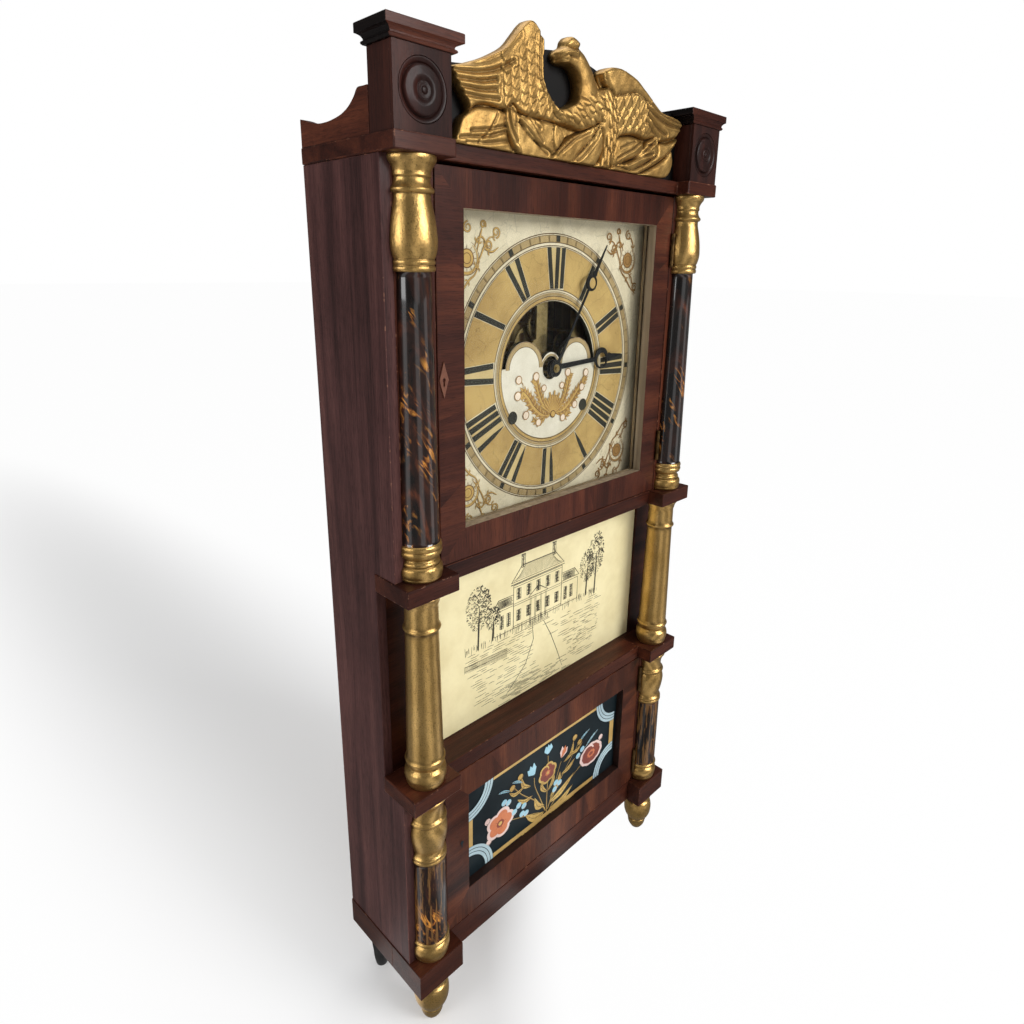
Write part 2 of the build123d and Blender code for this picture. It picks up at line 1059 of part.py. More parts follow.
def lock_bolt():
    z = lock_height()
    outer = door_half_width - bolt_clearance
    return slab(
        -outer,
        -outer + bolt_length,
        bolt_depth - bolt_thickness / 2,
        bolt_depth + bolt_thickness / 2,
        z - bolt_width / 2,
        z + bolt_width / 2,
    )


def keyhole(place, y0, y1):
    slot = slab(
        place[0] - keyhole_radius / 2,
        place[0] + keyhole_radius / 2,
        y0,
        y1,
        place[1] - keyhole_slot,
        place[1],
    )
    return bar(place, y0, y1, keyhole_radius) + slot


def key_place():
    return (-(door_half_width - escutcheon_width / 2 - side_inset), lock_height())


def escutcheon():
    diamond = Polygon(
        (0, -escutcheon_height / 2),
        (escutcheon_width / 2, 0),
        (0, escutcheon_height / 2),
        (-escutcheon_width / 2, 0),
        align=None,
    )
    plate = standing(diamond, key_place(), -escutcheon_thickness, 0)
    return plate - keyhole(key_place(), -escutcheon_thickness - overrun, overrun)


def door_frame(z0, z1, stile, bottom_rail, top_rail):
    half = door_half_width
    inner = half - stile
    frame = slab(-half, half, 0, door_thickness, z0, z1)
    frame -= slab(-inner, inner, -overrun, door_thickness + overrun, z0 + bottom_rail, z1 - top_rail)
    lap = glass_lap + glass_clearance
    frame -= slab(
        -inner - lap,
        inner + lap,
        glass_depth,
        door_thickness + overrun,
        z0 + bottom_rail - lap,
        z1 - top_rail + lap,
    )
    return frame


def upper_door_span():
    return (z_upper + door_gap, z_cornice - upper_door_top_gap)


def lower_door_span():
    return (z_lower + door_gap, z_low_ledge - door_top_gap)


def upper_door_frame():
    z0, z1 = upper_door_span()
    frame = door_frame(z0, z1, upper_stile_width, upper_rail_height, upper_rail_height)
    frame -= bolt_space(door_half_width - bolt_length - bolt_throw, door_half_width + overrun)
    frame -= keyhole(key_place(), -overrun, bolt_depth - bolt_thickness / 2)
    for middle in hinge_heights(z_upper, z_cornice):
        frame -= leaf_bed_cut(-1, middle)
    return frame


def lower_door_frame():
    z0, z1 = lower_door_span()
    frame = door_frame(z0, z1, lower_stile_width, lower_bottom_rail, lower_top_rail)
    for middle in hinge_heights(z_lower, z_low_ledge):
        frame -= leaf_bed_cut(-1, middle)
    return frame


def door_glass(span, stile, bottom_rail, top_rail):
    z0, z1 = span
    half = door_half_width - stile + glass_lap
    return slab(
        -half,
        half,
        glass_depth,
        glass_depth + glass_thickness,
        z0 + bottom_rail - glass_lap,
        z1 - top_rail + glass_lap,
    )


# Dial
def dial_board():
    face = Rectangle(2 * dial_half_width, 2 * dial_half_height)
    window = Pos(0, -dial_window_drop) * Circle(dial_window_radius)
    window &= Pos(0, dial_lobe_rise + dial_window_radius / 2) * Rectangle(
        2 * dial_window_radius, dial_window_radius
    )
    for sign in (-1, 1):
        window -= Pos(sign * dial_lobe_offset, dial_lobe_rise) * Circle(dial_lobe_radius)
    window -= Pos(0, dial_arch_rise) * Circle(dial_arch_radius)
    edge = dial_lobe_offset + dial_lobe_radius / 2
    for sign in (-1, 1):
        window -= Pos(sign * (edge + dial_window_radius / 2), dial_shoulder_rise / 2) * Rectangle(
            dial_window_radius, dial_shoulder_rise
        )
    face -= window
    face -= Circle(centre_hole_radius)
    for sign in (-1, 1):
        face -= Pos(sign * winding_offset, -winding_drop) * Circle(winding_hole_radius)
    return standing(face, centre_place, dial_depth, dial_depth + dial_thickness)


# Movement frame
arbor_places = (
    second_place,
    third_place,
    escape_place,
    verge_place,
    strike_second_place,
    strike_third_place,
    fly_place,
    hammer_place,
)


def plate_blank(y0):
    y1 = y0 + plate_thickness
    top = z_plate + plate_height
    shape = slab(-plate_half_width, plate_half_width, y0, y1, z_plate, z_plate + strap_height)
    shape += slab(-plate_half_width, plate_half_width, y0, y1, top - strap_height, top)
    half = strap_width / 2
    for x in (-winding_offset, 0, winding_offset):
        shape += slab(x - half, x + half, y0, y1, z_plate, top)
    shape += slab(
        -winding_offset,
        winding_offset,
        y0,
        y1,
        z_dial - strap_height / 2,
        z_dial + strap_height / 2,
    )
    shape += slab(
        second_place[0],
        0,
        y0,
        y1,
        second_place[1] - boss_radius,
        second_place[1] + boss_radius,
    )
    for place in arbor_places:
        shape += bar(place, y0, y1, boss_radius)
    return shape


def bored(shape, place, y0, radius):
    hole = bar(place, y0 - overrun, y0 + plate_thickness + overrun, radius)
    return shape - hole


def front_plate():
    y0 = plate_front
    shape = plate_blank(y0)
    for place in arbor_places:
        shape = bored(shape, place, y0, pivot_radius + running_clearance)
    for place in (time_place, strike_place):
        shape = bored(shape, place, y0, drum_arbor_radius + running_clearance)
    shape = bored(shape, centre_place, y0, centre_arbor_radius + running_clearance)
    for place in pillar_places():
        shape = bored(shape, place, y0, pivot_radius + running_clearance)
    shape += bar(minute_place, stud_front, y0, stud_radius)
    shape += bar(minute_place, stud_front - stud_head_length, stud_front, stud_head)
    return shape


def pillar_places():
    places = []
    for x in (-1, 1):
        for z in (z_plate + pillar_inset, z_plate + plate_height - pillar_inset):
            places.append((x * (plate_half_width - pillar_inset), z))
    return places


def back_plate():
    y0 = plate_back
    shape = plate_blank(y0)
    y1 = y0 + plate_thickness
    for place in arbor_places + (time_place, strike_place, centre_place):
        if place == verge_place:
            shape = bored(shape, place, y0, arbor_radius + running_clearance)
        else:
            shape = bored(shape, place, y0, pivot_radius + running_clearance)
    front = plate_front + plate_thickness
    for place in pillar_places():
        shape += bar(place, front, y0, pillar_radius)
        shape += bar(place, plate_front, front, pivot_radius)
    top = verge_place[1] + cock_rise
    half = cock_width / 2
    shape += slab(-half, half, y1, cock_reach + cock_thickness, top, top + cock_thickness)
    shape += slab(
        -half,
        half,
        cock_reach,
        cock_reach + cock_thickness,
        verge_place[1] - eye_radius,
        top + cock_thickness,
    )
    shape += slab(
        -half, half, y0, y1, z_plate + plate_height - strap_height, top + cock_thickness
    )
    shape += bar(verge_place, suspension_front(), cock_reach, suspension_radius)
    strap = bell_strap_width / 2
    shape += slab(
        bell_x - strap,
        bell_x + strap,
        y0,
        y1,
        z_plate + plate_height - strap_height,
        bell_place[1] + strap,
    )
    nut = bell_back - bell_wall
    shape += bar(bell_place, nut - bell_nut_length, y0, bell_post_radius)
    shape += bar(bell_place, nut - bell_nut_length, nut - hand_seat_gap, bell_nut_radius)
    shape += bar(bell_place, bell_back + hand_seat_gap, y0, bell_nut_radius)
    return shape


def suspension_front():
    return pendulum_depth - eye_thickness / 2 - arbor_shake


def movement_seat():
    return slab(
        -partition_face,
        partition_face,
        plate_front,
        plate_front + seat_depth + plate_thickness,
        z_plate - seat_thickness,
        z_plate,
    )


# Drums and great wheels
def drum(place):
    y1 = drum_front + drum_length
    shape = bar(place, winding_front + strap_height / 2, plate_back - arbor_shake, drum_arbor_radius)
    shape += bar(place, plate_back - arbor_shake, plate_back + plate_thickness, pivot_radius)
    half = winding_square / 2
    shape += slab(
        place[0] - half,
        place[0] + half,
        winding_front,
        winding_front + strap_height / 2,
        place[1] - half,
        place[1] + half,
    )
    shape += bar(place, drum_front, y1, drum_radius)
    for y0 in (drum_front - drum_flange, y1):
        shape += bar(place, y0, y0 + drum_flange, drum_radius + drum_flange_rise)
    outline = toothed(ratchet_teeth, ratchet_module, ratchet_tooth_shares, 0)
    shape += standing(outline, place, ratchet_front, ratchet_front + ratchet_thickness)
    collar = great_front + great_thickness + arbor_shake
    shape += bar(place, collar, collar + drum_flange, drum_arbor_radius + drum_flange_rise)
    return shape


def great_wheel(place, toward):
    phase = bearing(place, toward)
    shape = wheel(place, great_teeth, great_module, phase, great_front, great_thickness)
    bore = bar(
        place,
        great_front - overrun,
        great_front + great_thickness + overrun,
        drum_arbor_radius + running_clearance,
    )
    return shape - bore


def pinion_front(wheel_front, thickness):
    return wheel_front + thickness / 2 - pinion_length / 2


# An arbor carrying the pinion that a wheel drives and the wheel that it drives in turn
def train_arbor(
    place, driver, driver_module, driver_front, driver_thickness, teeth, module, y0, next_place
):
    shape = arbor(place)
    start = pinion_front(driver_front, driver_thickness)
    facing = bearing(place, driver)
    shape += pinion(place, pinion_leaves, driver_module, facing, start, pinion_length)
    if teeth:
        shape += wheel(place, teeth, module, bearing(place, next_place), y0, wheel_thickness)
    return shape


def second_wheel():
    return train_arbor(
        second_place,
        time_place,
        great_module,
        great_front,
        great_thickness,
        second_teeth,
        second_module,
        second_front,
        centre_place,
    )


def third_wheel():
    return train_arbor(
        third_place,
        centre_place,
        centre_module,
        centre_front,
        wheel_thickness,
        third_teeth,
        third_module,
        third_front,
        escape_place,
    )


def escape_wheel():
    shape = arbor(escape_place)
    start = pinion_front(third_front, wheel_thickness)
    facing = bearing(escape_place, third_place)
    shape += pinion(escape_place, pinion_leaves, third_module, facing, start, pinion_length)
    module = 2 * escape_radius / (escape_teeth + 2 * escape_tooth_shares[0])
    shape += wheel(
        escape_place, escape_teeth, module, 90, escape_front, wheel_thickness, escape_tooth_shares
    )
    return shape


def centre_arbor():
    inside_back = plate_back - arbor_shake
    shape = bar(centre_place, arbor_tip, inside_back, centre_arbor_radius)
    shape += bar(centre_place, inside_back, plate_back + plate_thickness, pivot_radius)
    inside_front = plate_front + plate_thickness + arbor_shake
    shape += bar(centre_place, inside_front, inside_front + collet_length, collet_radius)
    shape += wheel(
        centre_place,
        centre_teeth,
        centre_module,
        bearing(centre_place, third_place),
        centre_front,
        wheel_thickness,
    )
    facing = bearing(centre_place, second_place)
    start = pinion_front(second_front, wheel_thickness)
    shape += pinion(centre_place, pinion_leaves, second_module, facing, start, pinion_length)
    shape += pinion(
        centre_place, cannon_leaves, minute_module, -90, cannon_front, cannon_length
    )
    front = minute_hand_front - hand_seat_gap
    back = minute_hand_front + hand_thickness + hand_seat_gap
    shape += bar(centre_place, front - collet_length, front, collet_radius)
    shape += bar(centre_place, back, back + collet_length, collet_radius)
    return shape


def minute_wheel():
    phase = 90
    shape = wheel(
        minute_place, minute_wheel_teeth, minute_module, phase, minute_wheel_front, wheel_thickness
    )
    length = minute_wheel_front - minute_pinion_front
    gap = 90 + 180 / minute_pinion_leaves
    outline = toothed(minute_pinion_leaves, hour_module, pinion_leaf_shares, gap)
    shape += standing(outline, minute_place, minute_pinion_front, minute_pinion_front + length)
    bore = bar(
        minute_place,
        minute_pinion_front - overrun,
        plate_front,
        stud_radius + running_clearance,
    )
    return shape - bore


def hour_wheel():
    outer = centre_arbor_radius + running_clearance + pipe_wall
    shape = wheel(centre_place, hour_teeth, hour_module, -90, hour_wheel_front, wheel_thickness)
    shape += bar(centre_place, pipe_front, pipe_back, outer)
    front = hour_hand_front - hand_seat_gap
    back = hour_hand_front + hand_thickness + hand_seat_gap
    shape += bar(centre_place, pipe_front, front, outer + hand_seat_gap * 8)
    shape += bar(centre_place, back, back + collet_length, outer + collet_length)
    bore = bar(
        centre_place,
        pipe_front - overrun,
        pipe_back + overrun,
        centre_arbor_radius + running_clearance,
    )
    return shape - bore


# A hand lies along its own length and is then turned to the hour, clockwise from the top
def hand(length, ring_share, ring_radius, ring_hole, bore, y0, angle):
    ring_middle = length * ring_share
    blade = Polygon(
        (-hand_root_width / 2, 0),
        (hand_root_width / 2, 0),
        (hand_tip_width / 2, length),
        (-hand_tip_width / 2, length),
        align=None,
    )
    blade += Circle(hand_hub_radius)
    blade += Pos(0, ring_middle) * Circle(ring_radius)
    blade -= Pos(0, ring_middle + (ring_radius - ring_hole) / 2) * Circle(ring_hole)
    blade -= Circle(bore)
    return standing(Rot(0, 0, -angle) * blade, centre_place, y0, y0 + hand_thickness)


def minute_hand():
    return hand(
        minute_hand_length,
        hand_ring_place_share,
        hand_ring_radius,
        hand_ring_hole,
        centre_arbor_radius + running_clearance,
        minute_hand_front,
        minute_hand_angle,
    )


def hour_hand():
    return hand(
        hour_hand_length,
        hour_ring_place_share,
        hour_ring_radius,
        hour_ring_hole,
        centre_arbor_radius + pipe_wall + 2 * running_clearance,
        hour_hand_front,
        hour_hand_angle,
    )


# Escapement and pendulum
def verge():
    x, z = verge_place
    inside_front = plate_front + plate_thickness + arbor_shake
    shape = bar(verge_place, inside_front, crutch_front + crutch_thickness, arbor_radius)
    shape += bar(verge_place, plate_front, inside_front, pivot_radius)
    y0 = pallet_front
    y1 = pallet_front + pallet_width
    half = pallet_half_span
    shape += slab(-half, half, y0, y1, z - verge_arm_height / 2, z + verge_arm_height / 2)
    for sign in (-1, 1):
        shape += slab(
            sign * half,
            sign * (half - pallet_thickness),
            y0,
            y1,
            z - pallet_reach(),
            z + verge_arm_height / 2,
        )
    c0 = crutch_front
    c1 = crutch_front + crutch_thickness
    half_crutch = crutch_width / 2
    shape += slab(-half_crutch, half_crutch, c0, c1, z - crutch_length, z)
    shape += bar(verge_place, c0, c1, arbor_radius + half_crutch)
    inner = rod_radius + fork_gap
    outer = inner + fork_prong
    foot = z - crutch_length
    shape += slab(-outer, outer, c0, c1, foot - fork_prong, foot + fork_prong)
    for sign in (-1, 1):
        shape += slab(
            sign * inner,
            sign * outer,
            c0,
            pendulum_depth + rod_radius,
            foot - fork_prong,
            foot + fork_prong,
        )
    return shape


# The pallets end clear of the wheel's tips, however far they rock
def pallet_reach():
    inner = pallet_half_span - pallet_thickness
    tip_drop = verge_rise - math.sqrt(escape_radius**2 - inner**2)
    return tip_drop - pallet_gap


def pendulum_rod():
    x, z = verge_place
    half = eye_thickness / 2
    eye = bar(verge_place, pendulum_depth - half, pendulum_depth + half, eye_radius)
    eye -= bar(
        verge_place,
        pendulum_depth - eye_thickness,
        pendulum_depth + eye_thickness,
        suspension_radius + running_clearance,
    )
    top = z - suspension_radius - running_clearance - rod_radius / 2
    bottom = z - pendulum_length - bob_radius - rod_tail
    rod = Pos(0, front_y + pendulum_depth, (top + bottom) / 2) * Cylinder(rod_radius, top - bottom)
    nut_top = z - pendulum_length - bob_radius - hand_seat_gap
    nut = Pos(0, front_y + pendulum_depth, nut_top - bob_nut_height / 2) * Cylinder(
        bob_nut_radius, bob_nut_height
    )
    return eye + rod + nut


bob_steps = (
    (0.420, 1.00, 0.07),
    (0.580, 1.00, 0),
    (1.000, 0.35, 0.07),
)


def pendulum_bob():
    z = verge_place[1] - pendulum_length
    back = front_y + pendulum_depth + bob_thickness / 2
    disc = turning(0.35, bob_steps, bob_thickness, bob_radius)
    disc = Pos(0, back, z) * Rot(90, 0, 0) * disc
    bore = Pos(0, front_y + pendulum_depth, z) * Cylinder(
        rod_radius + pin_clearance, 2 * bob_radius + overrun
    )
    return disc - bore


# Striking side
def strike_second_wheel():
    return train_arbor(
        strike_second_place,
        strike_place,
        great_module,
        great_front,
        great_thickness,
        strike_second_teeth,
        strike_second_module,
        strike_second_front,
        strike_third_place,
    )


def strike_third_wheel():
    return train_arbor(
        strike_third_place,
        strike_second_place,
        strike_second_module,
        strike_second_front,
        wheel_thickness,
        strike_third_teeth,
        strike_third_module,
        strike_third_front,
        fly_place,
    )


def fly():
    shape = train_arbor(
        fly_place,
        strike_third_place,
        strike_third_module,
        strike_third_front,
        wheel_thickness,
        0,
        0,
        0,
        fly_place,
    )
    shape += slab(
        fly_place[0] - fly_reach,
        fly_place[0] + fly_reach,
        fly_front,
        fly_front + fly_width,
        fly_place[1] - fly_thickness / 2,
        fly_place[1] + fly_thickness / 2,
    )
    return shape


def hammer():
    head = (bell_place[0] - bell_radius - hammer_gap - hammer_head_radius, bell_place[1])
    span = math.dist(hammer_place, head)
    tilt = 90 - bearing(hammer_place, head)
    arm = Pos(0, span / 2) * Rectangle(hammer_arm_width, span)
    shape = arbor(hammer_place)
    shape += standing(
        Rot(0, 0, -tilt) * arm, hammer_place, hammer_front, hammer_front + hammer_thickness
    )
    middle = hammer_front + hammer_thickness / 2
    half = hammer_head_length / 2
    shape += bar(head, middle - half, middle + half, hammer_head_radius)
    shape += bar(hammer_place, middle - hammer_thickness, middle + hammer_thickness, hub_radius)
    return shape


bell_steps = (
    (0.25, 0.86, 0.03),
    (0.80, 0.97, 0.04),
    (1.00, 1.00, 0),
)


def bell():
    outer = turning(0.4, bell_steps, bell_depth, bell_radius)
    inner = Pos(0, 0, bell_wall) * turning(0.4, bell_steps, bell_depth, bell_radius - bell_wall)
    cup = outer - inner - Cylinder(bell_post_radius + running_clearance, 3 * bell_wall)
    return Pos(bell_place[0], front_y + bell_back, bell_place[1]) * Rot(90, 0, 0) * cup


# Weights and pulleys
def weight(sign):
    x = sign * (pulley_x + pulley_radius)
    y0 = pulley_depth - weight_depth / 2
    y1 = pulley_depth + weight_depth / 2
    half = weight_width / 2
    block = slab(x - half, x + half, y0, y1, z_lower, z_lower + weight_height)
    block = chamfer(block.edges().filter_by(Axis.Z), weight_corner)
    ring = Torus(hook_radius, hook_wire)
    place = Pos(x, front_y + pulley_depth, z_lower + weight_height + hook_radius)
    return block + place * Rot(90, 0, 0) * ring


def pulley(sign):
    place = (sign * pulley_x, z_pulley)
    half = pulley_thickness / 2
    y0 = pulley_depth - half
    y1 = pulley_depth + half
    shape = bar(place, y0, y1, pulley_radius)
    for start, end in ((y0, y0 + pulley_rim / 2), (y1 - pulley_rim / 2, y1)):
        shape += bar(place, start, end, pulley_radius + pulley_rim)
    return shape - bar(place, y0 - overrun, y1 + overrun, pulley_pin_radius + running_clearance)


def pulley_bracket(sign):
    place = (sign * pulley_x, z_pulley)
    inner = pulley_thickness / 2 + pulley_ear_gap
    outer = inner + pulley_ear_thickness
    half = pulley_ear_width / 2
    shape = slab(
        place[0] - half,
        place[0] + half,
        pulley_depth - outer,
        pulley_depth + outer,
        z_cornice - pulley_ear_thickness,
        z_cornice,
    )
    for side in (-1, 1):
        shape += slab(
            place[0] - half,
            place[0] + half,
            pulley_depth + side * inner,
            pulley_depth + side * outer,
            z_pulley - half,
            z_cornice,
        )
    shape += bar(place, pulley_depth - outer, pulley_depth + outer, pulley_pin_radius)
    return shape


# A node may hold two like solids that stand apart
def pair(maker):
    return Compound(children=[maker(-1), maker(1)])


parts["side_boards"] = pair(side_board)
parts["weight_channel_boards"] = pair(channel_board)
parts["upper_columns"] = pair(upper_column)
parts["middle_columns"] = pair(middle_column)
parts["lower_columns"] = pair(lower_column)
parts["pulley_left"] = pulley(-1)
parts["pulley_right"] = pulley(1)
parts["back_board"] = slab(-side_inner, side_inner, back_front, case_depth, z_base, z_cornice)
parts["floor_board"] = floor_board()
parts["base_frame"] = base_frame()
parts["ledges"] = Compound(children=[ledge(z_low_ledge), ledge(z_high_ledge)])
parts["top_board"] = top_board()
parts["lower_stiles"] = Compound(children=stiles(z_lower, z_low_ledge, False))
parts["upper_stiles"] = Compound(children=stiles(z_upper, z_cornice, True))
parts["middle_frame"] = middle_frame()
parts["middle_tablet"] = middle_tablet()
parts["chimneys"] = pair(chimney)
parts["chimney_caps"] = pair(chimney_cap)
parts["chimney_rosettes"] = pair(rosette)
parts["side_galleries"] = pair(side_gallery)
parts["splat_board"] = splat_board()
parts["eagle_crest"] = eagle_crest()


def front_foot(sign):
    return Pos(sign * column_x, front_y, 0) * turning(0.34, foot_steps, foot_height, foot_radius)


def rear_foot(sign):
    place = Pos(sign * (half_width - rear_foot_inset), front_y + case_depth - rear_foot_inset, 0)
    return place * turning(0.6, rear_foot_steps, foot_height, rear_foot_radius)


parts["front_feet"] = pair(front_foot)
parts["rear_feet"] = pair(rear_foot)

parts["dial_board"] = dial_board()
parts["upper_door_frame"] = upper_door_frame()
parts["upper_door_glass"] = door_glass(
    upper_door_span(), upper_stile_width, upper_rail_height, upper_rail_height
)
parts["lock_escutcheon"] = escutcheon()
parts["lock_bolt"] = lock_bolt()
parts["lower_door_frame"] = lower_door_frame()
parts["lower_door_glass"] = door_glass(
    lower_door_span(), lower_stile_width, lower_bottom_rail, lower_top_rail
)
upper_hinges = hinge_heights(z_upper, z_cornice)
lower_hinges = hinge_heights(z_lower, z_low_ledge)
parts["fixed_hinge_leaves"] = Compound(
    children=[hinge_leaf(1, middle) for middle in upper_hinges + lower_hinges]
)
parts["upper_door_hinge_leaves"] = Compound(
    children=[hinge_leaf(-1, middle) for middle in upper_hinges]
)
parts["lower_door_hinge_leaves"] = Compound(
    children=[hinge_leaf(-1, middle) for middle in lower_hinges]
)

parts["movement_seat"] = movement_seat()
parts["movement_front_plate"] = front_plate()
parts["movement_back_plate"] = back_plate()
parts["time_drum"] = drum(time_place)
parts["time_great_wheel"] = great_wheel(time_place, second_place)
parts["time_second_wheel"] = second_wheel()
parts["centre_arbor"] = centre_arbor()
parts["time_third_wheel"] = third_wheel()
parts["escape_wheel"] = escape_wheel()
parts["minute_wheel"] = minute_wheel()
parts["hour_wheel"] = hour_wheel()
parts["minute_hand"] = minute_hand()
parts["hour_hand"] = hour_hand()
parts["verge"] = verge()
parts["pendulum_rod"] = pendulum_rod()
parts["pendulum_bob"] = pendulum_bob()
parts["strike_drum"] = drum(strike_place)
parts["strike_great_wheel"] = great_wheel(strike_place, strike_second_place)
parts["strike_second_wheel"] = strike_second_wheel()
parts["strike_third_wheel"] = strike_third_wheel()
parts["strike_fly"] = fly()
parts["strike_hammer"] = hammer()
parts["bell"] = bell()
parts["time_weight"] = weight(-1)
parts["strike_weight"] = weight(1)
parts["pulley_brackets"] = pair(pulley_bracket)

os.makedirs("parts", exist_ok=True)
for node, shape in parts.items():
    export_step(shape, "parts/" + node + ".step")
print(len(parts), "nodes written")
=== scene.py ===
import bpy
import bmesh
import math
import random
import numpy as np
from mathutils import Matrix, Vector
from mathutils.geometry import tessellate_polygon


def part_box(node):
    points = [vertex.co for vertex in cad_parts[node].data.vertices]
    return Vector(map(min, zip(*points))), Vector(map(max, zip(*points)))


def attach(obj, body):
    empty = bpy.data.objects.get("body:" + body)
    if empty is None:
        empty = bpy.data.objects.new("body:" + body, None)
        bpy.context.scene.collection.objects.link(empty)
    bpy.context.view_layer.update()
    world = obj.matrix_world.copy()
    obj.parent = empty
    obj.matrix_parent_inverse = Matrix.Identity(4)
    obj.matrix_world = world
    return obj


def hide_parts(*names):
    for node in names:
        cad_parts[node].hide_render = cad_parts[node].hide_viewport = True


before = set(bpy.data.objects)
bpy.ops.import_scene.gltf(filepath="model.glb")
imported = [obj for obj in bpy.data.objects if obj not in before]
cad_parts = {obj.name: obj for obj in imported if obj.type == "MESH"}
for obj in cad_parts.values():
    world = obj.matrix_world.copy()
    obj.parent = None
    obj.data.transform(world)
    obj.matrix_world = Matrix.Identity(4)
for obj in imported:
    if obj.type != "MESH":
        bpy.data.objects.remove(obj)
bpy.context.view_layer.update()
print("frame loaded:", len(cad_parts), "nodes")

# Millimetres from the floor up; depths count back from the plane of the doors
case = {
    "doorPlane": -43.0,
    "halfWidth": 220.0,
    "sideOuter": 219.0,
    "sideInner": 209.0,
    "depth": 109.0,
    "blockInner": 163.0,
    "blockReach": 20.0,
    "recess": 30.0,
    "railDepth": 12.0,
    "topReach": 21.0,
    "topRecess": 6.0,
    "stileInner": 169.0,
    "base": 62.0,
    "lowerStage": 93.0,
    "lowLedge": 293.0,
    "middleStage": 310.0,
    "highLedge": 510.0,
    "upperStage": 527.0,
    "cornice": 869.0,
    "top": 882.0,
    "chimneyTop": 938.0,
    "columnX": 191.5,
    "ease": 0.7,
}


def at(x, depth, z):
    return Vector((x, case["doorPlane"] + depth, z)) * 0.001


def rgb(red, green, blue):
    channels = []
    for value in (red, green, blue):
        value /= 255
        channels.append(value / 12.92 if value <= 0.04045 else ((value + 0.055) / 1.055) ** 2.4)
    return (*channels, 1.0)


def linked(name, data):
    made = bpy.data.objects.new(name, data)
    bpy.context.scene.collection.objects.link(made)
    return made


# Node helpers
def node(tree, kind, inputs=None, **settings):
    made = tree.nodes.new(kind)
    for key, value in settings.items():
        setattr(made, key, value)
    for key, value in (inputs or {}).items():
        if isinstance(value, bpy.types.NodeSocket):
            tree.links.new(value, made.inputs[key])
        else:
            made.inputs[key].default_value = value
    return made


def newFinish(name, **settings):
    finish = bpy.data.materials.new(name)
    finish.use_nodes = True
    shader = finish.node_tree.nodes["Principled BSDF"]
    for key, value in settings.items():
        shader.inputs[key.replace("_", " ")].default_value = value
    return finish, finish.node_tree, shader


# Object coordinates, stretched; tone is a number on each board that moves the pattern along
def stretched(tree, scale, turn=(0, 0, 0), useTone=False):
    place = node(tree, "ShaderNodeTexCoord").outputs["Object"]
    if useTone:
        tone = node(tree, "ShaderNodeAttribute", attribute_name="tone").outputs["Vector"]
        place = node(
            tree, "ShaderNodeVectorMath", {0: tone, 1: (3.1, 5.3, 7.7), 2: place}, operation="MULTIPLY_ADD"
        ).outputs["Vector"]
    if any(turn):
        place = node(tree, "ShaderNodeMapping", {"Vector": place, "Rotation": turn}).outputs["Vector"]
    return node(tree, "ShaderNodeMapping", {"Vector": place, "Scale": scale}).outputs["Vector"]


def cloud(tree, vector, scale=1.0, detail=4.0, roughness=0.55, distortion=0.0):
    values = {"Vector": vector, "Scale": scale, "Detail": detail, "Roughness": roughness}
    return node(tree, "ShaderNodeTexNoise", {**values, "Distortion": distortion}).outputs["Fac"]


# A cloudy pattern on the piece's own places, drawn out by one number or by three
def pattern(tree, stretch, detail=4.0, roughness=0.55, distortion=0.0, turn=(0, 0, 0), useTone=False):
    stretch = stretch if isinstance(stretch, tuple) else (stretch, stretch, stretch)
    return cloud(tree, stretched(tree, stretch, turn, useTone), 1, detail, roughness, distortion)


def ramp(tree, value, *stops):
    made = node(tree, "ShaderNodeValToRGB", {"Fac": value})
    elements = made.color_ramp.elements
    while len(elements) < len(stops):
        elements.new(0.5)
    for element, (position, colour) in zip(elements, stops):
        element.position = position
        element.color = colour if not isinstance(colour, (int, float)) else (colour, colour, colour, 1)
    return made.outputs["Color"]


def blended(tree, amount, first, second, mode="MIX"):
    made = node(tree, "ShaderNodeMix", data_type="RGBA", blend_type=mode)
    for index, value in ((0, amount), (6, first), (7, second)):
        if isinstance(value, bpy.types.NodeSocket):
            tree.links.new(value, made.inputs[index])
        else:
            made.inputs[index].default_value = value
    return made.outputs[2]


def sums(tree, kind, first, second, third=0.0):
    return node(tree, "ShaderNodeMath", {0: first, 1: second, 2: third}, operation=kind).outputs[0]


def mapped(tree, value, low, high, least=0.0, most=1.0, kind="LINEAR"):
    inputs = {"Value": value, "From Min": low, "From Max": high, "To Min": least, "To Max": most}
    return node(tree, "ShaderNodeMapRange", inputs, interpolation_type=kind).outputs["Result"]


def mixed(tree, share, first, second):
    return node(tree, "ShaderNodeMixShader", {0: share, 1: first, 2: second}).outputs[0]


def rough(tree, shader, value, low, high):
    tree.links.new(mapped(tree, value, 0.0, 1.0, low, high), shader.inputs["Roughness"])


def relief(tree, shader, height, depth, strength=1.0, after=None):
    inputs = {"Height": height, "Distance": depth, "Strength": strength}
    if after is not None:
        inputs["Normal"] = after
    made = node(tree, "ShaderNodeBump", inputs)
    tree.links.new(made.outputs["Normal"], shader.inputs["Normal"])
    return made.outputs["Normal"]


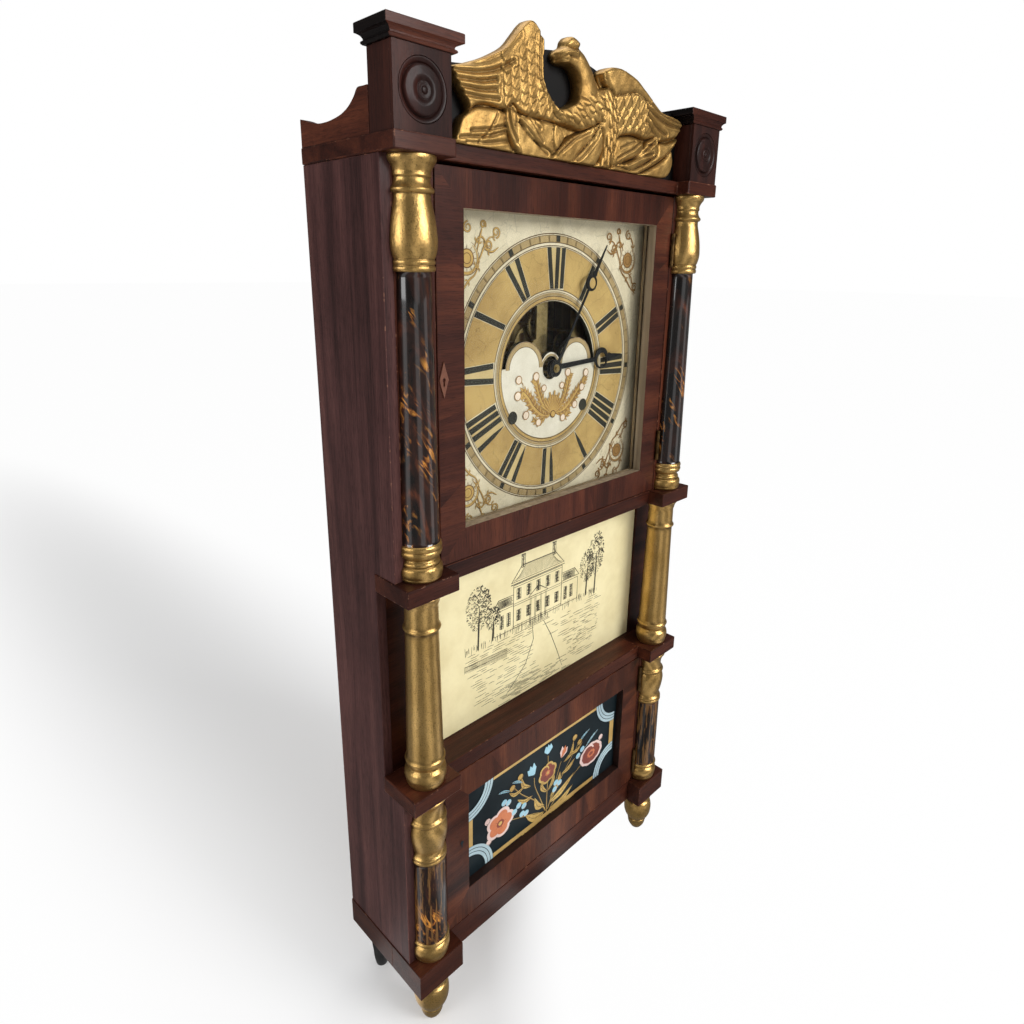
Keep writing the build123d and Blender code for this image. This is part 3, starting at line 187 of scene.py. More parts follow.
# Varnished mahogany, its grain along one axis. A board's tone makes it darker or lighter, and 2 more on it
# marks an eased edge, which is chipped
def mahogany(name, along, dark, middle, light, figure=30.0, gloss=0.3):
    finish, tree, shader = newFinish(name, Coat_Weight=0.06, Coat_Roughness=0.12, Specular_IOR_Level=0.12)

    def across(fine, long):
        scale = [fine] * 3
        scale["xyz".index(along)] = long
        return tuple(scale)

    bands = pattern(tree, across(figure, 2.2), 3, 0.5, 0.7, useTone=True)
    fibres = pattern(tree, across(620, 16), 4, 0.6, 0.2, useTone=True)
    pores = pattern(tree, across(2100, 95), 2, 0.5, useTone=True)
    patina = pattern(tree, 7, 5, 0.6, useTone=True)
    wood = sums(tree, "MULTIPLY_ADD", fibres, 0.34, sums(tree, "MULTIPLY", bands, 0.82))
    colour = ramp(tree, wood, (0.34, dark), (0.55, middle), (0.78, light))
    tone = node(tree, "ShaderNodeAttribute", attribute_name="tone").outputs["Fac"]
    edge = sums(tree, "GREATER_THAN", tone, 1.5)
    tone = sums(tree, "MULTIPLY_ADD", edge, -2.0, tone)
    shade = ramp(tree, tone, (0.0, 0.62), (0.5, 1.0), (1.0, (1.35, 1.18, 1.08, 1)))
    colour = blended(tree, 1.0, colour, shade, "MULTIPLY")
    chips = sums(tree, "MULTIPLY", edge, ramp(tree, pattern(tree, 170, 5, 0.7), (0.57, 0.0), (0.63, 0.6)))
    colour = blended(tree, chips, colour, rgb(150, 104, 82))
    pits = ramp(tree, pores, (0.36, 0.45), (0.47, 1.0))
    colour = blended(tree, 0.75, colour, pits, "MULTIPLY")
    grime = ramp(tree, patina, (0.3, 0.62), (0.62, 1.05))
    colour = blended(tree, 0.8, colour, grime, "MULTIPLY")
    tree.links.new(colour, shader.inputs["Base Color"])
    rough(tree, shader, patina, gloss - 0.06, gloss + 0.2)
    relief(tree, shader, sums(tree, "ADD", pits, fibres), 0.00012, 0.35)
    return finish


def plainWood(name, along, dark, light, gloss=0.6):
    finish, tree, shader = newFinish(name)
    scale = [130.0] * 3
    scale["xyz".index(along)] = 3.5
    rings = pattern(tree, tuple(scale), 4, 0.6, 0.9, useTone=True)
    dust = pattern(tree, 14, 5)
    colour = ramp(tree, rings, (0.35, dark), (0.68, light))
    colour = blended(tree, 0.7, colour, ramp(tree, dust, (0.3, 0.55), (0.65, 1.0)), "MULTIPLY")
    tree.links.new(colour, shader.inputs["Base Color"])
    rough(tree, shader, dust, gloss, gloss + 0.2)
    relief(tree, shader, rings, 0.0002, 0.4)
    return finish


# Old bronze-gold leaf over gesso: bright on the swells, and in the hollows painted shade mixed with dirt
def gilding(name, bright, middle, dirtAndShade, grain=1.0, gloss=0.22):
    finish, tree, shader = newFinish(name, Metallic=0.9)
    mottle = pattern(tree, (34, 34, 22), 6, 0.6, 0.3)
    speck = pattern(tree, 950, 3, 0.65)
    colour = ramp(tree, mottle, (0.3, middle), (0.66, bright))
    colour = blended(tree, 0.75, colour, ramp(tree, speck, (0.33, 0.25), (0.46, 1.0)), "MULTIPLY")
    # Painted shade: where the surface is hollow the colour goes towards the dark colour, standing for shade
    # in the recesses along with some dirt
    hollowShade = node(tree, "ShaderNodeNewGeometry").outputs["Pointiness"]
    colour = blended(tree, ramp(tree, hollowShade, (0.43, 0.95), (0.496, 0.0)), colour, dirtAndShade)
    scuffs = pattern(tree, (140, 140, 60), 6, 0.75, 0.6)
    colour = blended(tree, ramp(tree, scuffs, (0.62, 0.0), (0.7, 0.65)), colour, dirtAndShade)
    tree.links.new(colour, shader.inputs["Base Color"])
    rough(tree, shader, mottle, gloss + 0.16, gloss)
    first = relief(tree, shader, pattern(tree, 260, 5, 0.65), 0.0006 * grain, 0.6)
    relief(tree, shader, speck, 0.00014, 0.5, first)
    return finish


# Painted tortoiseshell: slanting amber flames in mottled brown and black, under thick varnish
def tortoiseshell(name, amber, scratches, varnish):
    finish, tree, shader = newFinish(
        name, Roughness=0.3, Coat_Weight=varnish, Coat_Roughness=0.04, Coat_IOR=1.55, Specular_IOR_Level=0.15
    )
    mottle = pattern(tree, (46, 46, 17), 5, 0.6, 1.0, (0, 0.3, 0))
    colour = ramp(tree, mottle, (0.42, rgb(14, 9, 7)), (0.56, rgb(44, 22, 14)), (0.7, rgb(92, 46, 25)))
    flame = pattern(tree, (150, 150, 34), 4, 0.55, 1.4, (0.3, 0.55, 0))
    glow = pattern(tree, (34, 34, 12), 3, turn=(0, 0.4, 0))
    # Brighter towards the foot of the shaft
    place = node(tree, "ShaderNodeTexCoord").outputs["Object"]
    height = node(tree, "ShaderNodeSeparateXYZ", {0: place}).outputs["Z"]
    glow = sums(tree, "ADD", glow, mapped(tree, height, 0.58, 0.74, 0.05, -0.1))
    glow = ramp(tree, glow, (amber, 0.0), (amber + 0.1, 1.0))
    lit = sums(tree, "MULTIPLY", ramp(tree, flame, (0.5, 0.0), (0.62, 1.0)), glow)
    colour = blended(tree, lit, colour, ramp(tree, flame, (0.54, rgb(128, 66, 24)), (0.7, rgb(226, 156, 62))))
    worn = pattern(tree, (300, 300, 20), 5, 0.7, 0.4)
    worn = ramp(tree, worn, (1 - scratches, 0.0), (1.05 - scratches, 0.7))
    tree.links.new(blended(tree, worn, colour, rgb(128, 90, 46)), shader.inputs["Base Color"])
    relief(tree, shader, pattern(tree, (300, 300, 160), 3), 0.0002, 0.2)
    return finish


def paint(name, light, dark, gloss=0.45, speckle=0.35, metal=0.0, specular=0.3, crackle=0.0):
    finish, tree, shader = newFinish(name, Metallic=metal, Specular_IOR_Level=specular)
    stain = pattern(tree, 22, 6, 0.62)
    fine = pattern(tree, 700, 3, 0.6)
    colour = ramp(tree, stain, (0.34, dark), (0.62, light))
    colour = blended(tree, speckle, colour, ramp(tree, fine, (0.32, 0.55), (0.5, 1.0)), "MULTIPLY")
    if crackle:
        inputs = {0: stretched(tree, (75, 75, 75)), 1: (0.5, 0.5, 0.5), 2: pattern(tree, 60, 3)}
        place = node(tree, "ShaderNodeVectorMath", inputs, operation="MULTIPLY_ADD").outputs["Vector"]
        place = {"Vector": place, "Scale": 1.0}
        crack = node(tree, "ShaderNodeTexVoronoi", place, feature="DISTANCE_TO_EDGE").outputs["Distance"]
        lines = ramp(tree, crack, (0.0, 0.45), (0.016, 1.0))
        colour = blended(tree, crackle, colour, lines, "MULTIPLY")
    tree.links.new(colour, shader.inputs["Base Color"])
    rough(tree, shader, stain, gloss, gloss + 0.12)
    relief(tree, shader, fine, 0.00005, 0.3)
    return finish


def metal(name, light, dark, low, high, grain=60, lumps=0.0002, amount=1.0):
    finish, tree, shader = newFinish(name, Metallic=amount)
    tarnish = pattern(tree, grain, 6, 0.62, 0.3)
    tree.links.new(ramp(tree, tarnish, (0.33, dark), (0.62, light)), shader.inputs["Base Color"])
    rough(tree, shader, tarnish, high, low)
    relief(tree, shader, pattern(tree, 8 * grain, 3), lumps, 0.4)
    return finish


def clearGlass(name):
    finish = bpy.data.materials.new(name)
    finish.use_nodes = True
    tree = finish.node_tree
    tree.nodes.clear()
    bump = {"Height": pattern(tree, (9, 9, 5), 2), "Distance": 0.0006, "Strength": 0.25}
    normal = node(tree, "ShaderNodeBump", bump).outputs["Normal"]
    through = node(tree, "ShaderNodeBsdfTransparent", {"Color": rgb(253, 254, 252)})
    shine = node(tree, "ShaderNodeBsdfGlossy", {"Roughness": 0.03, "Normal": normal})
    back = node(tree, "ShaderNodeNewGeometry").outputs["Backfacing"]
    bend = mapped(tree, back, 0.0, 1.0, 1.13, 1 / 1.13)
    edge = node(tree, "ShaderNodeFresnel", {"IOR": bend, "Normal": normal})
    both = mixed(tree, edge.outputs[0], through.outputs[0], shine.outputs[0])
    node(tree, "ShaderNodeOutputMaterial", {"Surface": both})
    return finish


deepWood, redWood, litWood = rgb(34, 15, 11), rgb(66, 32, 23), rgb(98, 51, 33)
finishes = {
    "sideWood": mahogany("mahoganySides", "z", rgb(48, 29, 28), rgb(80, 50, 48), rgb(104, 68, 63), 55.0, 0.4),
    "upWood": mahogany("mahoganyUpright", "z", deepWood, redWood, litWood),
    "acrossWood": mahogany("mahoganyAcross", "x", deepWood, redWood, litWood),
    "backWood": mahogany("mahoganyFrontToBack", "y", deepWood, redWood, litWood),
    "lowerUp": mahogany("mahoganyLowerRails", "z", rgb(40, 19, 13), rgb(74, 38, 26), rgb(108, 60, 38)),
    "lowerAcross": mahogany("mahoganyLowerStiles", "x", rgb(40, 19, 13), rgb(74, 38, 26), rgb(108, 60, 38)),
    "turnedWood": mahogany("mahoganyTurned", "z", rgb(26, 12, 9), rgb(48, 23, 18), rgb(70, 35, 26), 40, 0.52),
    "rosette": mahogany("mahoganyRosette", "z", rgb(24, 11, 9), rgb(42, 21, 17), rgb(62, 31, 25), 40, 0.36),
    # The side faces of the chimney caps take a near-black copy of the mahogany: painted shade
    "shadedCapSide": mahogany("paintedShadeCapSides", "y", rgb(14, 11, 11), rgb(24, 18, 17), rgb(46, 36, 34), 40, 0.2),
    "pineUp": plainWood("pineUpright", "z", rgb(120, 88, 54), rgb(168, 132, 88)),
    "pineAcross": plainWood("pineAcross", "x", rgb(112, 82, 50), rgb(160, 124, 82)),
    "reveal": plainWood("doorReveal", "z", rgb(130, 112, 90), rgb(172, 154, 128), 0.5),
    "ebonised": paint("ebonised", rgb(16, 13, 12), rgb(8, 7, 7), 0.5, 0.2, specular=0.15),
    # The lower door's reveal is painted near-black brown: painted shade standing for the shadow in the
    # opening
    "shadedReveal": paint("shadedReveal", rgb(46, 26, 20), rgb(24, 15, 13), 0.5, 0.4, specular=0.2),
    "putty": paint("glassPutty", rgb(150, 130, 104), rgb(112, 94, 74), 0.6, 0.4, specular=0.2),
    "gilt": gilding("giltLeaf", rgb(206, 168, 104), rgb(172, 136, 76), rgb(60, 42, 22)),
    "giltCarving": gilding("giltCarving", rgb(182, 146, 86), rgb(154, 118, 64), rgb(44, 28, 14), 0.7, 0.36),
    "shell": tortoiseshell("tortoiseshell", 0.5, 0.32, 1.0),
    "shellWorn": tortoiseshell("tortoiseshellWorn", 0.58, 0.5, 0.45),
    "brass": metal("agedBrass", rgb(186, 162, 112), rgb(98, 84, 58), 0.28, 0.5),
    "dullBrass": metal("dullBrass", rgb(104, 80, 48), rgb(46, 34, 22), 0.4, 0.6, 160),
    "bellMetal": metal("bellMetal", rgb(206, 178, 116), rgb(132, 104, 60), 0.2, 0.38),
    "steel": metal("greySteel", rgb(150, 150, 152), rgb(84, 82, 82), 0.3, 0.5),
    "iron": metal("castIron", rgb(58, 56, 56), rgb(26, 24, 24), 0.55, 0.75, 120, 0.0012, 0.6),
    "handMetal": metal("blackSteel", rgb(34, 34, 36), rgb(18, 18, 20), 0.3, 0.45, 200, 0.0001, 0.5),
    "glass": clearGlass("dialGlass"),
}
print("finishes made:", len(finishes))


# A work gathers the parts of one piece before its mesh is made
def newWork():
    return {"verts": [], "faces": [], "finishes": [], "tones": [], "smooth": []}


def pour(work, verts, faces, finish=0, tone=0.5, smooth=False):
    start = len(work["verts"])
    work["verts"].extend(verts)
    for index, face in enumerate(faces):
        work["faces"].append(tuple(corner + start for corner in face))
        work["finishes"].append(finish[index] if isinstance(finish, list) else finish)
        work["tones"].append(tone[index] if isinstance(tone, list) else tone)
        work["smooth"].append(smooth)


# Takes a block out of a piece
def cutAway(piece, low, high):
    corners = [(x, y, z) for x in (low[0], high[0]) for y in (low[1], high[1]) for z in (low[2], high[2])]
    faces = [(0, 1, 3, 2), (4, 6, 7, 5), (0, 4, 5, 1), (2, 3, 7, 6), (0, 2, 6, 4), (1, 5, 7, 3)]
    block = bpy.data.meshes.new("cutter")
    block.from_pydata(corners, [], faces)
    cutter = linked("cutter", block)
    modifier = piece.modifiers.new("cut", "BOOLEAN")
    modifier.object = cutter
    modifier.operation = "DIFFERENCE"
    modifier.solver = "EXACT"
    piece.data = bpy.data.meshes.new_from_object(piece.evaluated_get(bpy.context.evaluated_depsgraph_get()))
    piece.modifiers.remove(modifier)
    bpy.data.objects.remove(cutter)


# The room that the lock's bolt needs in a piece, from before its near side to after it
bolt = {"stile": (6.2, 2.0), "door": (3.0, 16.5), "clearance": 0.5}


def boltRoom(before, after):
    low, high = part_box("lock_bolt")
    spare = bolt["clearance"] * 0.001
    return (
        (low[0] - before * 0.001, low[1] - spare, low[2] - spare),
        (low[0] + after * 0.001, high[1] + spare, high[2] + spare),
    )


def keepMesh(name, mesh, body="case", nodes=(), slotName=None, room=None):
    piece = linked(name, mesh)
    if room:
        cutAway(piece, *room)
    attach(piece, body)
    if nodes:
        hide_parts(*nodes)
    return piece


def makePiece(name, work, pieceFinishes, body="case", nodes=(), slotName=None, room=None):
    mesh = bpy.data.meshes.new(name)
    mesh.from_pydata([tuple(v) for v in work["verts"]], [], work["faces"])
    for finish in pieceFinishes:
        mesh.materials.append(finishes[finish])
    mesh.polygons.foreach_set("material_index", work["finishes"])
    mesh.polygons.foreach_set("use_smooth", work["smooth"])
    mesh.attributes.new("tone", "FLOAT", "FACE").data.foreach_set("value", work["tones"])
    mesh.update()
    return keepMesh(name, mesh, body, nodes, slotName, room)


def isEdge(face, ease):
    if not ease:
        return False
    shortest = min(edge.calc_length() for edge in face.edges)
    return shortest < ease * 0.001 and max(abs(value) for value in face.normal) < 0.995


# A flat outline given thickness, with eased edges. plane says which way the outline faces
def prism(work, outline, low, high, plane="top", ease=None, finish=0, tone=0.5, pick=None):
    ease = case["ease"] if ease is None else ease
    bm = bmesh.new()

    def corner(a, b, c):
        if plane == "top":
            return at(a, b, c)
        if plane == "front":
            return at(a, c, b)
        return at(c, a, b)

    lower = [bm.verts.new(corner(a, b, low)) for a, b in outline]
    upper = [bm.verts.new(corner(a, b, high)) for a, b in outline]
    bm.faces.new(lower)
    bm.faces.new(upper)
    for index in range(len(outline)):
        after = (index + 1) % len(outline)
        bm.faces.new((lower[index], lower[after], upper[after], upper[index]))
    bmesh.ops.recalc_face_normals(bm, faces=bm.faces)
    if ease:
        bevel = {"offset": ease * 0.001, "segments": 2, "profile": 0.6, "clamp_overlap": True}
        bmesh.ops.bevel(bm, geom=bm.edges[:], affect="EDGES", **bevel)
    bm.verts.index_update()
    verts = [v.co.copy() for v in bm.verts]
    faces = [[v.index for v in face.verts] for face in bm.faces]
    chosen = [pick(face.normal) for face in bm.faces] if pick else finish
    # The eased edges carry a tone of their own, which the finish wears lighter
    tones = [tone + (2 if isEdge(face, ease) else 0) for face in bm.faces]
    pour(work, verts, faces, chosen, tones)
    bm.free()


def board(work, x, depth, z, **settings):
    outline = [(x[0], depth[0]), (x[1], depth[0]), (x[1], depth[1]), (x[0], depth[1])]
    prism(work, outline, z[0], z[1], **settings)


# The points of a turning: each step is (height, radius, swell), all shares of the piece's own
def turnedProfile(startShare, steps, height, radius):
    here = (0.0, startShare)
    points = [(0.0, startShare * radius)]
    for up, out, swell in steps:
        count = 9 if swell else 1
        long = math.hypot((up - here[0]) * height, (out - here[1]) * radius)
        if not swell and long > 12:
            count = int(long / 4)
        for index in range(1, count + 1):
            part = index / count
            bulge = swell * 4 * part * (1 - part)
            level, reach = here[0] + (up - here[0]) * part, here[1] + (out - here[1]) * part + bulge
            points.append((level * height, reach * radius))
        here = (up, out)
    return points


# A turning that faces the front
def rosette(work, x, depth, z, profile, segments):
    verts = []
    for up, radius in profile:
        for index in range(segments):
            angle = 2 * math.pi * index / segments
            verts.append(at(x + radius * math.cos(angle), depth - up, z + radius * math.sin(angle)))
    faces = []
    last = (len(profile) - 1) * segments
    for base in range(0, last, segments):
        above = base + segments
        for index in range(segments):
            after = (index + 1) % segments
            faces.append((base + after, above + after, above + index, base + index))
    faces.append(tuple(range(segments))[::-1])
    faces.append(tuple(range(last, last + segments)))
    pour(work, verts, faces, smooth=True)


def smoothLoop(points, share=5):
    points = np.array(points, float)
    before, after, beyond = np.roll(points, 1, 0), np.roll(points, -1, 0), np.roll(points, -2, 0)
    rows = []
    for t in np.arange(share) / share:
        square, cube = 2 * before - 5 * points + 4 * after - beyond, 3 * points - before - 3 * after + beyond
        rows.append(0.5 * (2 * points + (after - before) * t + square * t**2 + cube * t**3))
    return np.stack(rows, 1).reshape(-1, 2)


def smoothPath(points, share=6):
    points = np.array(points, float)
    padded = np.vstack([2 * points[0] - points[1], points, 2 * points[-1] - points[-2]])
    rows = []
    for index in range(len(points) - 1):
        a, b, c, d = padded[index : index + 4]
        square, cube = 2 * a - 5 * b + 4 * c - d, 3 * b - a - 3 * c + d
        for t in np.arange(share) / share:
            rows.append(0.5 * (2 * b + (c - a) * t + square * t**2 + cube * t**3))
    rows.append(points[-1])
    return np.array(rows)


# How far each place lies from a line of points, and the nearest place on that line
def nearestOn(places, line, closed=True):
    starts = np.array(line, float)
    ends = np.roll(starts, -1, 0) if closed else starts[1:]
    starts = starts if closed else starts[:-1]
    best = np.full(len(places), 1e9)
    foot = np.zeros_like(places)
    for start, end in zip(starts, ends):
        way = end - start
        length = max(way @ way, 1e-9)
        part = np.clip(((places - start) @ way) / length, 0, 1)
        near = start + part[:, None] * way
        gap = np.hypot(*(places - near).T)
        closer = gap < best
        best[closer] = gap[closer]
        foot[closer] = near[closer]
    return best, foot


def insideOf(places, loop):
    loop = np.array(loop, float)
    inside = np.zeros(len(places), bool)
    x, z = places[:, 0], places[:, 1]
    for (x0, z0), (x1, z1) in zip(loop, np.roll(loop, -1, 0)):
        if z0 == z1:
            continue
        crosses = ((z0 > z) != (z1 > z)) & (x < (x1 - x0) * (z - z0) / (z1 - z0) + x0)
        inside ^= crosses
    return inside


# Triangles that fill the first loop and leave the others open, all turned one way, with the area of each
def filled(loops):
    flat = [[Vector((float(a), float(b), 0)) for a, b in loop] for loop in loops]
    points = [p for loop in flat for p in loop]
    rows = []
    for a, b, c in tessellate_polygon(flat):
        area = (points[b] - points[a]).cross(points[c] - points[a]).z
        rows.append(((a, c, b) if area < 0 else (a, b, c), abs(area)))
    return flat, points, rows


# Flat pieces with holes: the first loop is the edge, the others are holes
def pierced(work, loops, near, far, finish=0, wallFinish=None, tone=0.5, turned=at):
    flat, points, triangles = filled(loops)
    count = len(points)
    verts = [turned(p.x, near, p.y) for p in points] + [turned(p.x, far, p.y) for p in points]
    faces, chosen = [], []
    for (a, b, c), area in triangles:
        if area >= 1e-9:
            faces += [(a, b, c), (a + count, c + count, b + count)]
            chosen += [finish, finish]
    start = 0
    for number, loop in enumerate(flat):
        anti = sum(loop[i].x * loop[i - 1].y - loop[i - 1].x * loop[i].y for i in range(len(loop))) < 0
        for index in range(len(loop)):
            a, b = start + index, start + (index + 1) % len(loop)
            if anti == (number > 0):
                a, b = b, a
            faces.append((b, a, a + count, b + count))
            chosen.append(finish if wallFinish is None else wallFinish)
        start += len(loop)
    pour(work, verts, faces, chosen, tone)


# Paint laid on a face: a filled loop, or a stroke that follows a line. Each lies a hair over the one before
layer = {"number": 0, "step": 0.0016}


def newLayers():
    layer["number"] = 0


def nextLayer(depth):
    layer["number"] += 1
    return depth - layer["number"] * layer["step"]


def painted(work, loop, depth, finish=0, tone=0.5, holes=()):
    depth = nextLayer(depth)
    _, points, triangles = filled((loop, *holes))
    pour(work, [at(p.x, depth, p.y) for p in points], [corners for corners, _ in triangles], finish, tone)


def stroke(work, line, widths, depth, finish=0, tone=0.5, closed=False):
    depth = nextLayer(depth)
    line = np.array(line, float)
    if closed:
        ways = np.roll(line, -1, 0) - np.roll(line, 1, 0)
    else:
        ways = np.gradient(line, axis=0)
    lengths = np.hypot(*ways.T)
    lengths[lengths == 0] = 1
    sides = np.stack([-ways[:, 1], ways[:, 0]], 1) / lengths[:, None]
    half = np.interp(np.linspace(0, 1, len(line)), np.linspace(0, 1, len(widths)), widths) / 2
    left, right = line + sides * half[:, None], line - sides * half[:, None]
    verts, faces = [], []
    for a, b in zip(left, right):
        verts += [at(a[0], depth, a[1]), at(b[0], depth, b[1])]
    count = len(line)
    for index in range(count if closed else count - 1):
        a, b = 2 * index, 2 * ((index + 1) % count)
        faces.append((a, a + 1, b + 1, b))
    pour(work, verts, faces, finish, tone)


def arc(x, z, radius, start, end, count=24, squash=1.0):
    angles = np.radians(np.linspace(start, end, count))
    return [(x + radius * math.sin(a), z + squash * radius * math.cos(a)) for a in angles]


def spiral(x, z, inner, outer, start, end, count=28):
    angles = np.radians(np.linspace(start, end, count))
    radii = np.linspace(inner, outer, count)
    return [(x + r * math.sin(a), z + r * math.cos(a)) for a, r in zip(angles, radii)]


def spot(work, x, z, radius, depth, finish, end=345, count=20, squash=1.0):
    painted(work, arc(x, z, radius, 0, end, count, squash), depth, finish)


# Geometry Nodes: a tree with named inputs, its links written as inputs of the nodes
def newTree(name, sockets):
    tree = bpy.data.node_groups.new(name, "GeometryNodeTree")
    tree.interface.new_socket("Geometry", in_out="INPUT", socket_type="NodeSocketGeometry")
    for kind, labels in sockets.items():
        for label in labels:
            tree.interface.new_socket(label, in_out="INPUT", socket_type="NodeSocket" + kind)
    tree.interface.new_socket("Geometry", in_out="OUTPUT", socket_type="NodeSocketGeometry")
    return tree, node(tree, "NodeGroupInput").outputs


# Runs a tree over a few points and hands back a plain mesh
def grown(name, tree, points, values):
    seedMesh = bpy.data.meshes.new(name + "Start")
    seedMesh.from_pydata(points, [], [])
    holder = linked(name + "Start", seedMesh)
    modifier = holder.modifiers.new(name, "NODES")
    modifier.node_group = tree
    for socket in tree.interface.items_tree:
        if socket.in_out == "INPUT" and socket.name in values:
            modifier[socket.identifier] = values[socket.name]
    seen = holder.evaluated_get(bpy.context.evaluated_depsgraph_get())
    mesh = bpy.data.meshes.new_from_object(seen)
    holder.modifiers.remove(modifier)
    bpy.data.objects.remove(holder)
    mesh.name = name
    return mesh


# The outline of a turning is swept round an upright line, closed flat behind where the sweep is half a turn,
# and set up twice, left and right. The points hold the outline as shares of the piece's radius and height
def turnedTree():
    sockets = {
        "Int": ("Rows", "Segments"),
        "Float": ("Sweep", "Height", "Radius", "Dents", "Seed", "Shaft Low", "Shaft High"),
        "Vector": ("Place", "Apart"),
        "Material": ("Leaf", "Shaft"),
    }
    tree, given = newTree("turnedColumn", sockets)
    columns = sums(tree, "ADD", given["Segments"], 1.0)
    size = {"Vertices X": columns, "Vertices Y": given["Rows"]}
    grid = node(tree, "GeometryNodeMeshGrid", size).outputs["Mesh"]
    index = node(tree, "GeometryNodeInputIndex").outputs[0]
    row = sums(tree, "MODULO", index, given["Rows"])
    column = sums(tree, "FLOOR", sums(tree, "DIVIDE", sums(tree, "ADD", index, 0.5), given["Rows"]), 0.0)
    place = node(tree, "GeometryNodeInputPosition").outputs[0]
    sampled = node(tree, "GeometryNodeSampleIndex", data_type="FLOAT_VECTOR", domain="POINT")
    tree.links.new(given["Geometry"], sampled.inputs["Geometry"])
    tree.links.new(place, sampled.inputs["Value"])
    tree.links.new(row, sampled.inputs["Index"])
    share = node(tree, "ShaderNodeSeparateXYZ", {0: sampled.outputs["Value"]}).outputs
    step = sums(tree, "DIVIDE", given["Sweep"], sums(tree, "SUBTRACT", given["Segments"], 1.0))
    angle = sums(tree, "MULTIPLY", sums(tree, "MODULO", column, given["Segments"]), step)
    cosine, sine = sums(tree, "COSINE", angle, 0.0), sums(tree, "SINE", angle, 0.0)
    up = sums(tree, "MULTIPLY", share["Z"], given["Height"])
    ripple = {0: cosine, 1: sine, 2: sums(tree, "MULTIPLY_ADD", up, 28.0, given["Seed"])}
    ripple = node(tree, "ShaderNodeCombineXYZ", ripple).outputs[0]
    dent = sums(tree, "SUBTRACT", cloud(tree, ripple, 1.4, 3, 0.5), 0.5)
    dent = sums(tree, "MULTIPLY", sums(tree, "MULTIPLY", dent, given["Dents"]), share["X"])
    out = sums(tree, "MULTIPLY_ADD", share["X"], given["Radius"], dent)
    depth = sums(tree, "MULTIPLY", sums(tree, "MULTIPLY", out, sine), -1.0)
    where = {0: sums(tree, "MULTIPLY", out, cosine), 1: depth, 2: up}
    where = node(tree, "ShaderNodeCombineXYZ", where).outputs[0]
    turned = node(tree, "GeometryNodeSetPosition", {"Geometry": grid, "Position": where}).outputs[0]
    turned = node(tree, "GeometryNodeMergeByDistance", {"Geometry": turned, "Distance": 0.000004}).outputs[0]
    turned = node(tree, "GeometryNodeSetShadeSmooth", {"Geometry": turned}).outputs[0]
    line = {"Count": 2, "Start Location": given["Place"], "Offset": given["Apart"]}
    line = node(tree, "GeometryNodeMeshLine", line).outputs[0]
    pair = node(tree, "GeometryNodeInstanceOnPoints", {"Points": line, "Instance": turned}).outputs[0]
    pair = node(tree, "GeometryNodeRealizeInstances", {"Geometry": pair}).outputs[0]
    height = node(tree, "ShaderNodeSeparateXYZ", {0: place}).outputs["Z"]
    above = sums(tree, "GREATER_THAN", height, given["Shaft Low"])
    shaft = sums(tree, "MULTIPLY", above, sums(tree, "LESS_THAN", height, given["Shaft High"]))
    made = node(tree, "GeometryNodeSetMaterial", {"Geometry": pair, "Material": given["Leaf"]}).outputs[0]
    made = {"Geometry": made, "Selection": shaft, "Material": given["Shaft"]}
    node(tree, "NodeGroupOutput", {0: node(tree, "GeometryNodeSetMaterial", made).outputs[0]})
    return tree


# Bars set round a circle on the dial, some left out where a number comes
def marksTree():
    sockets = {
        "Int": ("Count",),
        "Float": ("Radius", "Width", "Length", "Beside", "Shift", "Leave Out"),
        "Vector": ("Centre",),
        "Material": ("Paint",),
    }
    tree, given = newTree("dialMarks", sockets)
    size = {"Size X": given["Width"], "Size Y": given["Length"], "Vertices X": 2, "Vertices Y": 2}
    bar = node(tree, "GeometryNodeMeshGrid", size).outputs["Mesh"]
    way = node(tree, "ShaderNodeCombineXYZ", {0: given["Beside"], 1: given["Radius"]}).outputs[0]
    bar = node(tree, "GeometryNodeTransform", {"Geometry": bar, "Translation": way}).outputs[0]
    index = node(tree, "GeometryNodeInputIndex").outputs[0]
    turn = sums(tree, "MULTIPLY", sums(tree, "DIVIDE", index, given["Count"]), -2 * math.pi)
    heading = node(tree, "ShaderNodeCombineXYZ", {2: turn}).outputs[0]
    kept = sums(tree, "MODULO", sums(tree, "ADD", index, given["Shift"]), given["Leave Out"])
    kept = sums(tree, "GREATER_THAN", kept, 0.5)
    points = node(tree, "GeometryNodeMeshLine", {"Count": given["Count"], "Offset": (0, 0, 0)}).outputs[0]
    ring = {"Points": points, "Selection": kept, "Instance": bar, "Rotation": heading}
    ring = node(tree, "GeometryNodeInstanceOnPoints", ring).outputs[0]
    ring = {"Geometry": ring, "Translation": given["Centre"], "Rotation": (math.pi / 2, 0, 0)}
    ring = node(tree, "GeometryNodeTransform", ring).outputs[0]
    ring = node(tree, "GeometryNodeRealizeInstances", {"Geometry": ring}).outputs[0]
    made = node(tree, "GeometryNodeSetMaterial", {"Geometry": ring, "Material": given["Paint"]}).outputs[0]
    node(tree, "NodeGroupOutput", {0: made})
    return tree


# Left and right of the middle: the sign, and the stretch from near to far on that side
def bothSides(near, far):
    for sign in (-1, 1):
        yield sign, sorted((sign * near, sign * far))


# Sides, cut back in the middle stage
def makeSides():
    back, recess, low, high = case["depth"], case["recess"], case["lowerStage"], case["cornice"]
    outline = [
        (0, low), (back, low), (back, high), (0, high), (0, case["upperStage"]), (recess, case["upperStage"]),
        (recess, case["lowLedge"]), (0, case["lowLedge"]),
    ]
    work = newWork()
    for _, (left, right) in bothSides(case["sideInner"], case["sideOuter"]):
        prism(work, outline, left, right, "side", tone=0.45)
    makePiece("sideBoards", work, ["sideWood"], nodes=["side_boards"], slotName="mahogany")


glueBlock = {"width": 32.0, "depth": (67.0, 101.0), "top": 83.0}


